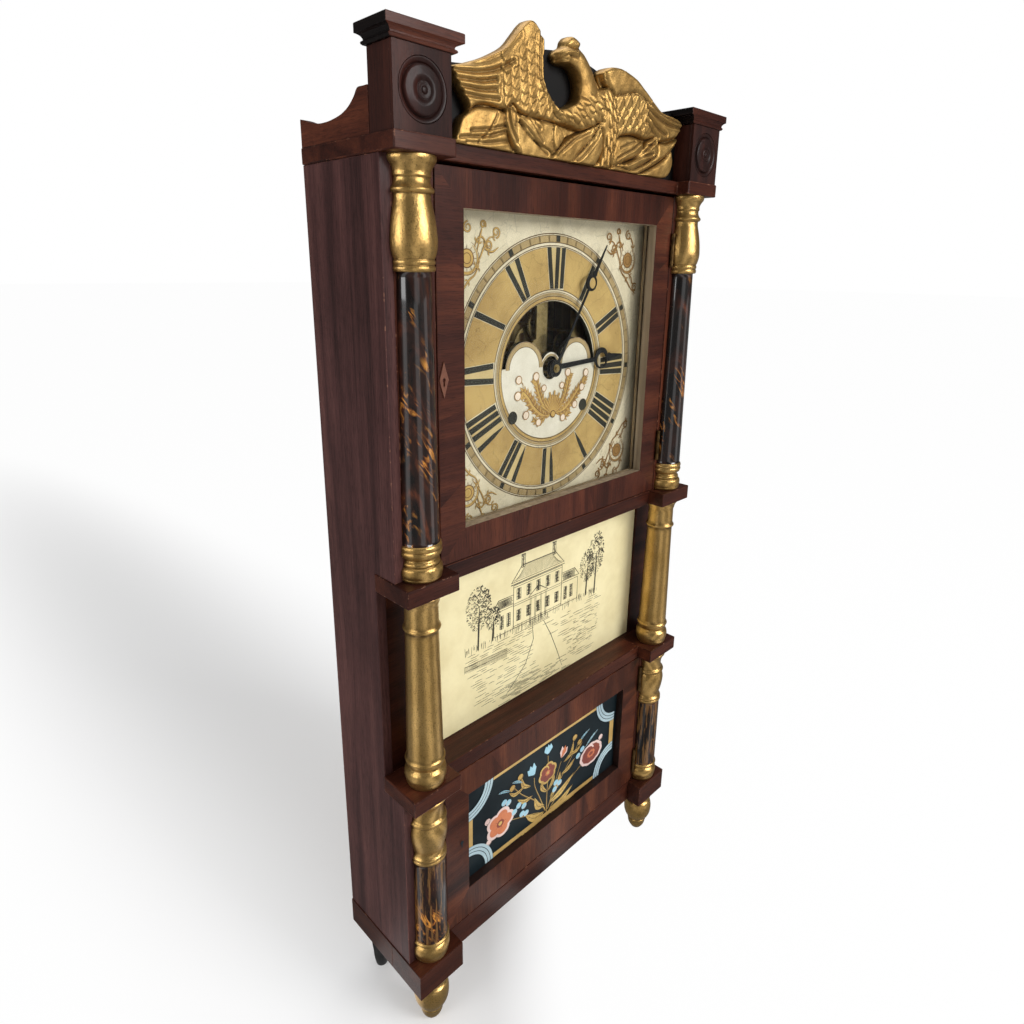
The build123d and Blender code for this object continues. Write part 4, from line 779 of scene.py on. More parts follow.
def makeBase():
    work = newWork()
    z = (case["base"], case["lowerStage"])
    inner, outer, side = case["blockInner"], case["halfWidth"], case["sideInner"]
    board(work, (-inner, inner), (0, case["railDepth"]), z, finish=1, tone=0.42)
    for sign, block in bothSides(inner, outer):
        board(work, block, (-case["blockReach"], case["recess"]), z, finish=1, tone=0.3 + 0.1 * sign)
        rail = sorted((sign * side, sign * outer))
        board(work, rail, (case["recess"], case["depth"]), z, finish=2, tone=0.3)
        glue = sorted((sign * (side - glueBlock["width"]), sign * side))
        board(work, glue, glueBlock["depth"], (case["base"], glueBlock["top"]), finish=3)
    woods = ["upWood", "acrossWood", "backWood", "pineAcross"]
    makePiece("baseFrame", work, woods, nodes=["base_frame"], slotName="mahogany")


def makeLedges():
    work = newWork()
    inner, recess = case["blockInner"], case["recess"]
    for low, high, tone in (("lowLedge", "middleStage", 0.3), ("highLedge", "upperStage", 0.45)):
        z = (case[low], case[high])
        board(work, (-inner, inner), (0, recess), z, tone=tone)
        for _, block in bothSides(inner, case["halfWidth"]):
            board(work, block, (-case["blockReach"], recess), z, tone=0.28, ease=1.0)
    makePiece("ledges", work, ["acrossWood"], nodes=["ledges"], slotName="mahogany")


def makeTop():
    outer, inner, back = case["halfWidth"], case["blockInner"], case["depth"]
    front, middle = -case["topReach"], -case["topRecess"]
    outline = [
        (-outer, back), (-outer, front), (-inner, front), (-inner, middle), (inner, middle), (inner, front),
        (outer, front), (outer, back),
    ]
    work = newWork()
    prism(work, outline, case["cornice"], case["top"], ease=1.2, tone=0.38)
    makePiece("topBoard", work, ["acrossWood"], nodes=["top_board"], slotName="mahogany")


def makeStiles():
    work = newWork()
    for z in ((case["lowerStage"], case["lowLedge"]), (case["upperStage"], case["cornice"])):
        for _, x in bothSides(case["stileInner"], case["sideInner"]):
            board(work, x, (0, case["railDepth"]), z, tone=0.4)
    nodes = ["upper_stiles", "lower_stiles"]
    makePiece("stiles", work, ["upWood"], nodes=nodes, slotName="mahogany", room=boltRoom(*bolt["stile"]))


makeSides()
makeBase()
makeLedges()
makeTop()
makeStiles()
print("case made")

column = {
    "upper": (
        (0.010, 0.95, 0.03), (0.030, 0.99, 0.02), (0.040, 0.90, 0.02), (0.041, 0.84, 0), (0.052, 0.84, 0.04),
        (0.067, 0.93, -0.10), (0.070, 0.93, 0), (0.083, 0.93, 0.05), (0.098, 0.92, 0.05), (0.099, 0.89, 0),
        (0.757, 0.74, 0), (0.758, 0.86, 0), (0.7715, 0.86, 0.045), (0.785, 0.86, 0.045), (0.788, 0.90, 0),
        (0.828, 1.00, 0.04), (0.900, 0.82, 0.03), (0.922, 0.78, -0.015), (0.924, 0.87, 0),
        (0.932, 0.90, 0.02), (0.936, 0.84, 0), (0.955, 0.76, -0.03), (0.960, 0.80, 0.015), (0.966, 0.79, 0),
        (0.985, 0.96, -0.03), (0.990, 1.00, 0), (1.000, 1.00, 0.01), ),
    "middle": (
        (0.030, 0.97, 0.02), (0.085, 0.98, 0.05), (0.095, 0.86, 0), (0.110, 0.86, -0.03),
        (0.130, 0.93, 0.02), (0.148, 0.93, 0.05), (0.152, 0.89, 0), (0.828, 0.77, 0), (0.830, 0.84, 0),
        (0.846, 0.84, 0.04), (0.852, 0.79, 0), (0.940, 0.77, 0), (0.960, 0.82, -0.01), (1.000, 1.00, -0.04),
        ),
    "lower": (
        (0.030, 0.97, 0.02), (0.085, 0.98, 0.05), (0.095, 0.88, 0), (0.105, 0.88, -0.03), (0.112, 0.95, 0),
        (0.128, 0.95, 0.05), (0.130, 0.91, 0), (0.635, 0.88, 0), (0.636, 0.91, 0), (0.655, 0.90, 0.04),
        (0.672, 0.89, 0.04), (0.700, 0.82, -0.04), (0.810, 1.00, 0.035), (0.862, 0.86, 0.03),
        (0.866, 0.94, 0), (0.884, 0.94, 0.04), (0.890, 0.84, 0), (0.930, 0.80, -0.02), (0.990, 1.00, -0.05),
        (1.000, 1.00, 0), ),
    "footShare": 0.88,
    # The shares of the height that a shaft's paint lies between; these lie past the top
    "noShaft": (2, 3),
    "radius": 20.3,
    "middleLess": 0.3,
    "dents": 0.22,
    "segments": 48,
}


# Both columns, or both feet, of one kind
def setUpTurnings(name, tree, profile, height, radius, low, depth, x, half, shaft, finish, cadNode, slotName):
    points = [(out / radius, 0, up / height) for up, out in profile]
    points = [(0, 0, points[0][2]), *points, (0, 0, points[-1][2])]
    count = column["segments"] if half else 2 * column["segments"]
    values = {
        "Rows": len(points),
        "Segments": count,
        "Sweep": math.pi if half else 2 * math.pi * (count - 1) / count,
        "Height": height * 0.001,
        "Radius": radius * 0.001,
        "Dents": column["dents"] * 0.001,
        "Seed": float(len(name)),
        "Place": at(-x, depth, low),
        "Apart": Vector((2 * x, 0, 0)) * 0.001,
        "Shaft Low": (low + shaft[0] * height) * 0.001,
        "Shaft High": (low + shaft[1] * height) * 0.001,
        "Leaf": finishes["ebonised" if slotName == "ebonised" else "gilt"],
        "Shaft": finishes[finish],
    }
    mesh = grown(name, tree, points, values)
    bm = bmesh.new()
    bm.from_mesh(mesh)
    bmesh.ops.recalc_face_normals(bm, faces=bm.faces)
    bm.to_mesh(mesh)
    bm.free()
    keepMesh(name, mesh, nodes=[cadNode], slotName=slotName)


def makeColumns(tree):
    whole = column["noShaft"]
    rows = (
        ("upper", case["upperStage"], case["cornice"], True, (0.0985, 0.7575), "shell", "tortoiseshell"),
        ("middle", case["middleStage"], case["highLedge"], False, whole, "gilt", "gilt"),
        ("lower", case["lowerStage"], case["lowLedge"], True, (0.1295, 0.6355), "shellWorn", "tortoiseshell"),
    )
    for name, low, high, half, shaft, finish, slotName in rows:
        height = high - low
        radius = column["radius"] - (column["middleLess"] if name == "middle" else 0)
        profile = turnedProfile(column["footShare"], column[name], height, radius)
        place = (low, 0, case["columnX"])
        paints = (shaft, finish, name + "_columns", slotName)
        setUpTurnings(name + "Columns", tree, profile, height, radius, *place, half, *paints)


foot = {
    "radius": 19.0,
    "front": (
        (0.020, 0.40, 0.02), (0.200, 0.64, 0.06), (0.260, 0.68, 0.01), (0.285, 0.60, 0),
        (0.305, 0.60, -0.02), (0.320, 0.76, 0), (0.560, 1.00, 0.06), (0.780, 0.90, 0.04),
        (0.840, 0.74, -0.02), (0.860, 0.74, 0), (0.880, 0.90, 0.02), (0.960, 0.94, 0.02), (1.000, 0.92, 0),
        ),
    "rearRadius": 11.0,
    "rearInset": 22.0,
    "rear": ((0.300, 0.80, 0.05), (0.700, 1.00, 0.03), (0.980, 0.92, 0.03), (1.000, 0.90, 0)),
}


def makeFeet(tree):
    rearDepth, rearX = case["depth"] - foot["rearInset"], case["halfWidth"] - foot["rearInset"]
    height = case["base"]
    rows = (
        ("frontFeet", "front", 0.34, foot["radius"], 0, case["columnX"], "gilt", "front_feet"),
        ("rearFeet", "rear", 0.6, foot["rearRadius"], rearDepth, rearX, "ebonised", "rear_feet"),
    )
    for name, kind, start, radius, depth, x, finish, cadNode in rows:
        profile = turnedProfile(start, foot[kind], height, radius)
        paints = (column["noShaft"], finish, cadNode, finish)
        setUpTurnings(name, tree, profile, height, radius, 0, depth, x, False, *paints)


columnTree = turnedTree()
makeColumns(columnTree)
makeFeet(columnTree)
print("columns and feet turned")


chimney = {
    "x": (166.0, 218.5),
    "depth": (-19.5, 10.5),
    "pocket": 21.9,
    "pocketDepth": 3.0,
    "rosetteRadius": 21.5,
    "rosetteHeight": 5.0,
    "rosette": (
        (0.58, 1.00, 0), (0.61, 0.975, 0), (0.53, 0.92, 0), (0.50, 0.90, 0), (0.34, 0.84, -0.008),
        (0.12, 0.80, 0), (0.12, 0.785, 0), (0.66, 0.775, 0), (0.78, 0.73, 0.008), (0.90, 0.50, 0.008),
        (0.94, 0.31, 0), (0.84, 0.30, 0), (0.84, 0.275, 0), (0.94, 0.26, 0), (0.90, 0.16, -0.006),
        (0.86, 0.115, 0), (0.98, 0.10, 0.004), (1.00, 0.04, 0), ),
    "capReach": ((155.5, 225.0), (-23.0, 16.0)),
    "capProfile": (
        (0.0, 0.30), (0.8, 0.46), (1.6, 0.52), (2.4, 0.46), (2.9, 0.34), (3.0, 0.26), (4.2, 0.30),
        (5.4, 0.42), (6.4, 0.60), (7.2, 0.84), (7.4, 0.92), (7.5, 1.00), (8.2, 1.02), (12.4, 1.02),
        (13.4, 1.0), (14.0, 0.94), ),
}


def makeChimneys():
    front, back = chimney["depth"]
    floor = front + chimney["pocketDepth"]
    low, high = case["top"], case["chimneyTop"]
    middle, hub = sum(chimney["x"]) / 2, (low + high) / 2
    blocks, discs = newWork(), newWork()
    profile = turnedProfile(1.0, chimney["rosette"], chimney["rosetteHeight"], chimney["rosetteRadius"])
    for sign, x in bothSides(*chimney["x"]):
        ring = arc(sign * middle, hub, chimney["pocket"], 0, 354.375, 64)
        pierced(blocks, [[(x[0], low), (x[1], low), (x[1], high), (x[0], high)], ring], front, floor)
        board(blocks, x, (floor, back), (low, high), ease=0.4)
        rosette(discs, sign * middle, floor, hub, profile, 96)
    makePiece("chimneys", blocks, ["turnedWood"], nodes=["chimneys"], slotName="mahogany")
    makePiece("rosettes", discs, ["rosette"], nodes=["chimney_rosettes"], slotName="mahogany")


# Mitred mouldings: a rectangle that grows and shrinks on its way up
def makeCaps():
    work = newWork()
    wide, deep = chimney["capReach"]
    inner, outer = chimney["x"]
    front, back = chimney["depth"]
    last = 4 * len(chimney["capProfile"]) - 4
    for sign in (-1, 1):
        verts, faces, chosen = [], [], []
        for up, share in chimney["capProfile"]:
            share = min(share, 1.0)
            x0, x1 = sign * (inner + (wide[0] - inner) * share), sign * (outer + (wide[1] - outer) * share)
            y0, y1 = front + (deep[0] - front) * share, back + (deep[1] - back) * share
            verts += [at(x, y, case["chimneyTop"] + up) for x, y in ((x0, y0), (x1, y0), (x1, y1), (x0, y1))]
        for low in range(0, last, 4):
            for index in range(4):
                after = (index + 1) % 4
                face = (low + index, low + after, low + 4 + after, low + 4 + index)
                faces.append(face if sign > 0 else face[::-1])
                # The side faces take the second finish, the near-black painted shade
                chosen.append(1 if index % 2 else 0)
        for face in ((3, 2, 1, 0), (last, last + 1, last + 2, last + 3)):
            faces.append(face if sign > 0 else face[::-1])
        pour(work, verts, faces, chosen + [1, 1], 0.42)
    woods = ["acrossWood", "shadedCapSide"]
    piece = makePiece("chimneyCaps", work, woods, nodes=["chimney_caps"], slotName="mahogany")
    bevel = piece.modifiers.new("ease", "BEVEL")
    bevel.width = 0.0006
    bevel.segments = 2
    bevel.limit_method = "ANGLE"
    bevel.angle_limit = math.radians(40)


gallery = {
    "outline": (
        (16, 32.0), (22, 32.2), (25, 31), (28, 27.6), (31, 25), (36, 21.6), (42, 19), (49, 17), (58, 15.6),
        (68, 14.8), (80, 15), (92, 17), (101, 19.6), (109, 21.5),
    ),
    "x": (211.0, 219.0),
    "depth": (10.5, 109.0),
    "rise": 32.0,
}


def makeGalleries():
    work = newWork()
    z = case["top"]
    front, back = gallery["depth"]
    curve = [(y, z + up) for y, up in smoothPath(gallery["outline"], 4)[::-1]]
    outline = [(front, z), (back, z), *curve, (front, z + gallery["rise"])]
    for _, (left, right) in bothSides(*gallery["x"]):
        prism(work, outline, left, right, "side")
    makePiece("sideGalleries", work, ["backWood"], nodes=["side_galleries"], slotName="mahogany")


makeChimneys()
makeCaps()
makeGalleries()
print("top mouldings made")


# The carved crest is a height field: leaves and wings are laid over each other, then feathers and cuts.
# Places are millimetres across from the middle and up from the cornice
crest = {
    "back": 2.5,
    "grid": 0.66,
    "across": (-158, 160),
    "up": (-1.5, 103),
    "groundHeight": 6.4,
    "edgeHeight": 5.2,
    "mostHeight": 18.3,
    "edgeWidth": 1.4,
    "outline": (
        (-152, 0), (-151, 4), (-149, 10), (-145, 19), (-138, 25.5), (-142, 34), (-148, 41), (-152, 47),
        (-154, 53), (-140, 58), (-124, 64), (-111, 70), (-97, 78), (-87, 88), (-79, 96.5), (-72.5, 101),
        (-66.5, 100.5), (-61, 95.5), (-56, 89), (-55.5, 83), (-57, 76), (-57, 65), (-55, 59), (-50, 52),
        (-43, 46), (-34, 41.5), (-24, 44.5), (-14, 50), (-9.5, 58), (-10, 66), (-14, 73), (-21, 76.6),
        (-29, 76.8), (-37.5, 78), (-39.5, 82.5), (-35, 87.5), (-29, 90.5), (-27, 95.5), (-22, 99.8),
        (-17, 99.8), (-10, 97.5), (-3.5, 93), (1, 88), (8, 82), (16, 76), (27, 66.5), (24.5, 70), (21, 77),
        (24, 81.5), (33, 86), (45, 87.5), (60, 86), (75, 82), (87, 76), (103, 69), (120, 62), (138, 60),
        (156, 57.5), (157, 51), (151, 43), (156.5, 41), (153, 33), (147.5, 23), (149, 14), (143, 4),
        (129, 0), (90, -0.5), (40, -0.5), (0, -0.5), (-60, -0.5), (-110, 0), ),
    # Each: outline, height at its edge, rise to its middle, width of the rounded edge, slope across and up
    "leaves": (
        (((-152, 0), (-150, 8), (-146, 19), (-138, 25), (-130, 28.5), (-120, 30), (-101, 29.5), (-98, 20),
          (-95, 10), (-89, 2), (-88, -2), (-120, -3)), 7.0, 4.0, 8, (0.02, 0.03)),
        (((-88, 30), (-80, 30), (-60, 29.5), (-45, 29.5), (-38, 27), (-35, 15), (-41, 1), (-60, -3),
          (-80, -2), (-85, 8), (-88, 18)), 7.6, 4.2, 9, (0.0, 0.05)),
        (((-84, 26), (-72, 17), (-58, 11), (-42, 6), (-44, -2), (-80, -3), (-84, 8)), 7.2, 2.0, 5, (0, 0)),
        (((-100, 30), (-97, 36), (-93, 36.5), (-87, 30), (-87.5, 20), (-84, 10), (-79, 2), (-83, 1),
          (-91, 8), (-97.5, 17), (-100, 24)), 8.2, 4.6, 4, (0, 0)),
        (((-43, -2), (-40, 5), (-28, 16), (-15, 23), (0, 28), (15, 35), (23, 37), (10, 21), (-6, 8.5),
          (-18, -2)), 8.4, 4.4, 6, (0, 0.02)),
        (((-42.5, 27), (-38, 28.5), (-31, 24), (-28.5, 18), (-33, 12), (-39, 8), (-43.5, 16)), 9.6, 4.0, 4,
         (0, 0)),
        (((-19, -2), (-6, 9), (8, 21), (22, 36), (26.5, 27), (26, 14), (20, 5), (12, -2)), 8.6, 7.0, 9, (0,
          0)),
        (((45, 26), (56, 30.5), (75, 33), (90, 31), (93, 24), (82, 15), (62, 8), (46, 3), (41, 12)), 8.0,
         5.0, 10, (0, 0.02)),
        (((52, 5), (66, 8.5), (82, 15), (92, 23), (98, 31), (108, 36), (117, 37), (118, 22), (104, 14),
          (86, 6), (72, 1)), 8.4, 4.2, 6, (0, 0)),
        (((40, -3), (48, 5), (72, 3), (88, 7), (106, 14.5), (118, 22), (119, 32), (135, 34.5), (150, 39),
          (155, 41), (147, 30), (133, 20), (112, 10), (92, 2), (80, -3)), 7.8, 4.4, 6, (0, 0)),
        (((84, -3), (94, 1.5), (112, 9), (132, 18.5), (144, 28), (148, 23), (149, 14), (143, 4), (129, -2)),
         7.2, 4.6, 7, (0, 0)),
        (((-156, 54), (-140, 58.5), (-124, 64.5), (-111, 70.5), (-97, 79.5), (-87, 90.5), (-78, 98.5),
          (-71, 102), (-64, 100.5), (-58, 96), (-55, 89), (-55, 83), (-56, 76), (-56, 65), (-54, 59),
          (-49, 52.5), (-42, 46.5), (-30, 42), (-20, 36), (-28, 29.5), (-50, 30), (-70, 30), (-84, 32),
          (-92, 36.5), (-100, 31), (-118, 32.5), (-130, 30), (-138, 26.5), (-146, 36), (-152, 46)), 8.6,
         3.6, 5, (0.015, -0.01)),
        (((22, 80), (30, 86), (45, 89), (60, 87), (75, 83), (87, 77), (103, 70), (120, 63), (138, 61),
          (160, 58), (160, 50), (151, 42), (140, 38.5), (118, 33.5), (110, 36.5), (95, 33), (75, 34.5),
          (55, 31.5), (47, 27), (44, 40), (39, 55), (33, 66), (26, 72)), 9.4, 4.2, 5, (0, 0.02)),
        (((24, 80), (30, 85), (45, 88), (60, 86.5), (75, 82.5), (88, 76.5), (101, 69), (106, 63), (96, 64),
          (86, 68.5), (73, 70.5), (60, 67), (48, 64.5), (40, 62.5), (34, 66), (29, 71)), 11.2, 4.6, 8, (0,
          0)),
        (((-46, 45), (-36, 42.5), (-26, 46), (-18, 51), (-10, 56), (8, 60), (24, 66), (33, 62), (34, 50),
          (29, 41), (20, 37.5), (0, 29), (-10, 27.5), (-30, 30), (-44, 36)), 10.4, 6.0, 17, (0, 0)),
        (((24, 64), (30, 68), (37, 66), (43, 55), (46.5, 42), (47.5, 28), (46, 20), (43, 10), (38, -2),
          (16, -2), (22, 6), (26.5, 16), (27, 28), (22, 37)), 9.0, 5.0, 9, (0, 0.03)),
        ),
    "neck": ((-29, 83), (-20, 84), (-8, 78), (1, 66), (6, 52), (8, 40)),
    "neckWidths": (9, 11.5, 13, 15, 19, 22),
    # Height at the edge, height along the middle, and how far up the neck begins
    "neckHeights": (5.5, 15.0, 42),
    "brow": ((-38, 80.5), (-34, 84), (-26, 86.5), (-17, 87)),
    "knob": ((-29, 91), (-27, 96), (-22, 100), (-16, 100), (-9, 96.5), (-12, 91), (-20, 89)),
    # Cuts: line, width and depth
    "cuts": (
        (((-154, 50), (-130, 52.5), (-110, 58), (-92, 67)), 1.5, 1.3),
        (((-151, 45.5), (-128, 47), (-110, 51)), 1.5, 1.4),
        (((-148, 40.5), (-126, 41), (-110, 43.5)), 1.4, 1.2),
        (((-143, 35.5), (-122, 36), (-108, 37)), 1.3, 1.1),
        (((-150, 55.5), (-126, 60.5), (-104, 70.5), (-84, 88)), 1.6, 0.9),
        (((-60, 93), (-61.5, 78), (-61.5, 62), (-56, 52)), 1.5, 1.3),
        (((-147, 5), (-120, 9), (-99, 15)), 1.2, 1.0),
        (((-136, 11), (-116, 14.5), (-99, 19)), 1.2, 0.9),
        (((-140, 2.5), (-118, 4), (-96, 8)), 1.2, 0.9),
        (((-96, 32), (-93.5, 22), (-86, 10)), 1.1, -1.6),
        (((-64, 26), (-59, 22.5)), 1.2, 1.0),
        (((62, 8.5), (84, 16), (99, 24), (112, 33)), 1.2, 1.4),
        (((68, 8), (92, 17), (110, 21)), 1.2, 1.2),
        (((100, 28), (112, 31)), 1.0, 0.9),
        (((92, 62), (110, 56), (132, 51.5), (156, 51)), 1.5, 1.5),
        (((94, 56), (110, 47.5), (130, 41.5)), 1.5, 1.5),
        (((101, 66), (116, 60.5), (140, 56.5), (158, 55.5)), 1.4, 1.2),
        (((92, 49), (104, 42.5), (117, 37)), 1.3, 1.1),
        (((110, 12), (130, 20), (146, 31)), 1.0, 0.6),
        (((-10, 2), (2, 11), (13, 24)), 1.1, 0.7),
        (((-30, 8), (-12, 20), (8, 29)), 1.1, 0.8),
        (((-128, 4), (-118, 12), (-112, 20), (-108, 27)), 1.0, 0.7),
        (((-82, 25), (-70, 18), (-58, 10), (-46, 4)), 1.0, 1.0),
        (((-70, 28), (-62, 20), (-54, 12)), 0.9, 0.6),
        (((-14, 0), (0, 10), (14, 22), (20, 31)), 1.0, 0.7),
        (((50, 10), (62, 16), (76, 22), (88, 30)), 1.0, 0.9),
        (((54, 20), (64, 24), (78, 29)), 0.9, 0.6),
        (((22, 33), (26, 20), (22, 6)), 1.0, 1.0),
        (((-44, 76.6), (-36, 78.5), (-30, 80)), 1.0, 1.2),
    ),
    "ruffles": ((-37, 6), (-34, 9), (-30.5, 11.5), (-27, 14.5), (-23.5, 17), (-19.5, 19.5)),
    "ruffle": (2.2, 1.9),
    "eye": (-28, 82.6, 1.0, 1.5),
    # Feathers: their places, then the way the tip points, length, width and lift. A tip lies over the next
    "leftRows": {"start": (-63, 89), "rowStep": (-9.4, -2.6), "step": (0.7, -8.2), "rows": 5, "count": 8},
    "leftFeather": (236, 13.5, 11.0, 1.5),
    "under": ((-52, 46), (-48, 40), (-58, 41), (-67, 37), (-58, 35.5), (-48, 35)),
    "underFeather": (236, 11.5, 8.6, 1.4),
    "scaleFeather": (66, 14.5, 13.5, 1.7),
    "dropFeather": (5.2, 2.1),
    "longFeather": (15.0, 5.2, 2.2),
    "scales": (
        (48, 58), (60, 61), (72, 62), (84, 60), (42, 50.5), (54, 52.5), (66, 54.5), (78, 54.5), (90, 52.5),
        (48, 43), (60, 45.5), (72, 47), (84, 47), (96, 45), (54, 36), (66, 38), (78, 39.5), (90, 39.5),
    ),
    "drops": (
        (-37, 37, -35, 9), (-27, 38, -32, 10), (-16, 36, -30, 10), (-8, 41, -25, 10), (-14, 46, -20, 9),
        (0, 36, -32, 10), (4, 46, -20, 10), (12, 41, -30, 10), (16, 50, -25, 10), (6, 55, -12, 9),
        (22, 44, -45, 10), (26, 54, -50, 10), (18, 60, -35, 9), (-4, 51, -12, 9), (-22, 32, -28, 8),
        (-44, 40, -30, 8), (-33, 33, -25, 8), (-8, 31, -30, 8), (10, 35, -36, 9), (20, 38, -48, 9),
    ),
    # Long feathers that run down from the shoulder to the ledge
    "long": (
        (31, 62, -62), (37, 58, -70), (33, 52, -74), (40, 48, -78), (34, 42, -82), (42, 38, -84),
        (37, 32, -86), (43, 27, -92), (33, 24, -92), (38, 20, -96), (42, 14, -100), (30, 12, -98),
        (35, 8, -102), (26, 4, -100), ),
    "waves": (
        (0.31, 0.12, 0.6, 0.09), (-0.14, 0.42, 2.1, 0.08), (0.62, -0.35, 4.0, 0.05), (0.21, 0.77, 1.2, 0.04),
    ),
    "flatten": (0.6, 0.78),
}


def dome(share):
    return np.sqrt(np.clip(1 - (1 - np.clip(share, 0, 1)) ** 2, 0, 1))


# Numbers of the places in the box round a line
def around(places, line, margin=0.0):
    low, high = line.min(0) - margin, line.max(0) + margin
    return np.where(((places > low) & (places < high)).all(1))[0]


def bump(places, x, z, size, width):
    return size * np.exp(-(np.hypot(places[:, 0] - x, places[:, 1] - z) / width) ** 2)


def crestHeights(places):
    x, z = places[:, 0], places[:, 1]
    height = np.full(len(places), crest["groundHeight"])
    narrow, lower = crest["flatten"]
    for outline, low, rise, width, (across, up) in crest["leaves"]:
        loop = smoothLoop(outline, 4)
        chosen = around(places, loop)
        chosen = chosen[insideOf(places[chosen], loop)]
        gap, _ = nearestOn(places[chosen], loop)
        middle = loop.mean(0)
        lean = across * (x[chosen] - middle[0]) + up * (z[chosen] - middle[1])
        height[chosen] = low + rise * lower * dome(gap / (width * narrow)) + lean + 0.05 * np.minimum(gap, 9)
    neck = smoothPath(crest["neck"], 6)
    given = crest["neckWidths"]
    widths = np.interp(np.linspace(0, 1, len(neck)), np.linspace(0, 1, len(given)), given)
    swell = np.full(len(places), 0.0)
    for (a, b), wide in zip(neck, widths):
        gap = np.hypot(x - a, z - b) / wide
        swell = np.maximum(swell, np.sqrt(np.clip(1 - gap**2, 0, 1)))
    low, high, start = crest["neckHeights"]
    body = low + (high - low) * swell
    height = np.where((swell > 0) & (z > start), np.maximum(height, body), height)
    loop = smoothLoop(crest["knob"], 4)
    chosen = np.where(insideOf(places, loop))[0]
    gap, _ = nearestOn(places[chosen], loop)
    height[chosen] = np.maximum(height[chosen] * 0.8, 8 + 4.5 * dome(gap / 5))
    return height


# One feather lies over what is below it: it grows out of the ground at its root and is highest at its tip
def layFeather(height, base, places, x, z, angle, length, width, lift):
    across, along = places[:, 0] - x, places[:, 1] - z
    turn = math.radians(angle)
    u = (across * math.cos(turn) + along * math.sin(turn)) / length
    v = (-across * math.sin(turn) + along * math.cos(turn)) / (width / 2)
    span = (u / 0.5) ** 2 + v**2
    inside = span < 1
    rise = lift * (0.06 + 0.94 * np.clip(u[inside] + 0.5, 0, 1) ** 0.8)
    quill = 0.16 * lift * np.exp(-((v[inside] / 0.16) ** 2))
    height[inside] = base[inside] + (rise + quill) * np.sqrt(1 - span[inside] ** 5)


def layFeathers(places, base):
    height = base.copy()
    rows = crest["leftRows"]
    for row in range(rows["rows"] - 1, -1, -1):
        for index in range(rows["count"], -1, -1):
            along = index + (0.5 if row % 2 else 0.0)
            x = rows["start"][0] + rows["rowStep"][0] * row + rows["step"][0] * along
            z = rows["start"][1] + rows["rowStep"][1] * row + rows["step"][1] * along
            least, most = (34 if x < -58 else 38), 92 + 0.62 * (x + 66) + (0 if row else 4)
            if least < z < most and x > -112:
                layFeather(height, base, places, x, z, *crest["leftFeather"])
    for x, z in crest["under"]:
        layFeather(height, base, places, x, z, *crest["underFeather"])
    for x, z in crest["scales"][::-1]:
        layFeather(height, base, places, x, z, *crest["scaleFeather"])
    for x, z, angle, length in crest["drops"]:
        layFeather(height, base, places, x, z, angle, length * 1.25, *crest["dropFeather"])
    for x, z, angle in crest["long"][::-1]:
        layFeather(height, base, places, x, z, angle, *crest["longFeather"])
    return height


# Slow waves, cuts with a raised lip, the ruffles, the brow and the eye
def cutCrest(places, height):
    for across, along, phase, size in crest["waves"]:
        height += size * np.sin(across * places[:, 0] + along * places[:, 1] + phase)
    for line, width, depth in crest["cuts"]:
        path = smoothPath(line, 5)
        chosen = around(places, path, 4)
        away, _ = nearestOn(places[chosen], path, closed=False)
        height[chosen] -= depth * np.exp(-((away / width) ** 2)) * 1.1
        height[chosen] += 0.35 * depth * np.exp(-(((away - 2.2 * width) / width) ** 2))
    for x, z in crest["ruffles"]:
        height += bump(places, x, z, *crest["ruffle"])
    away, _ = nearestOn(places, smoothPath(crest["brow"], 5), closed=False)
    below = np.exp(-(((away - 3) / 1.3) ** 2)) * (places[:, 1] < 84)
    height += 1.5 * np.exp(-((away / 1.5) ** 2)) - 1.5 * below
    height += bump(places, *crest["eye"])


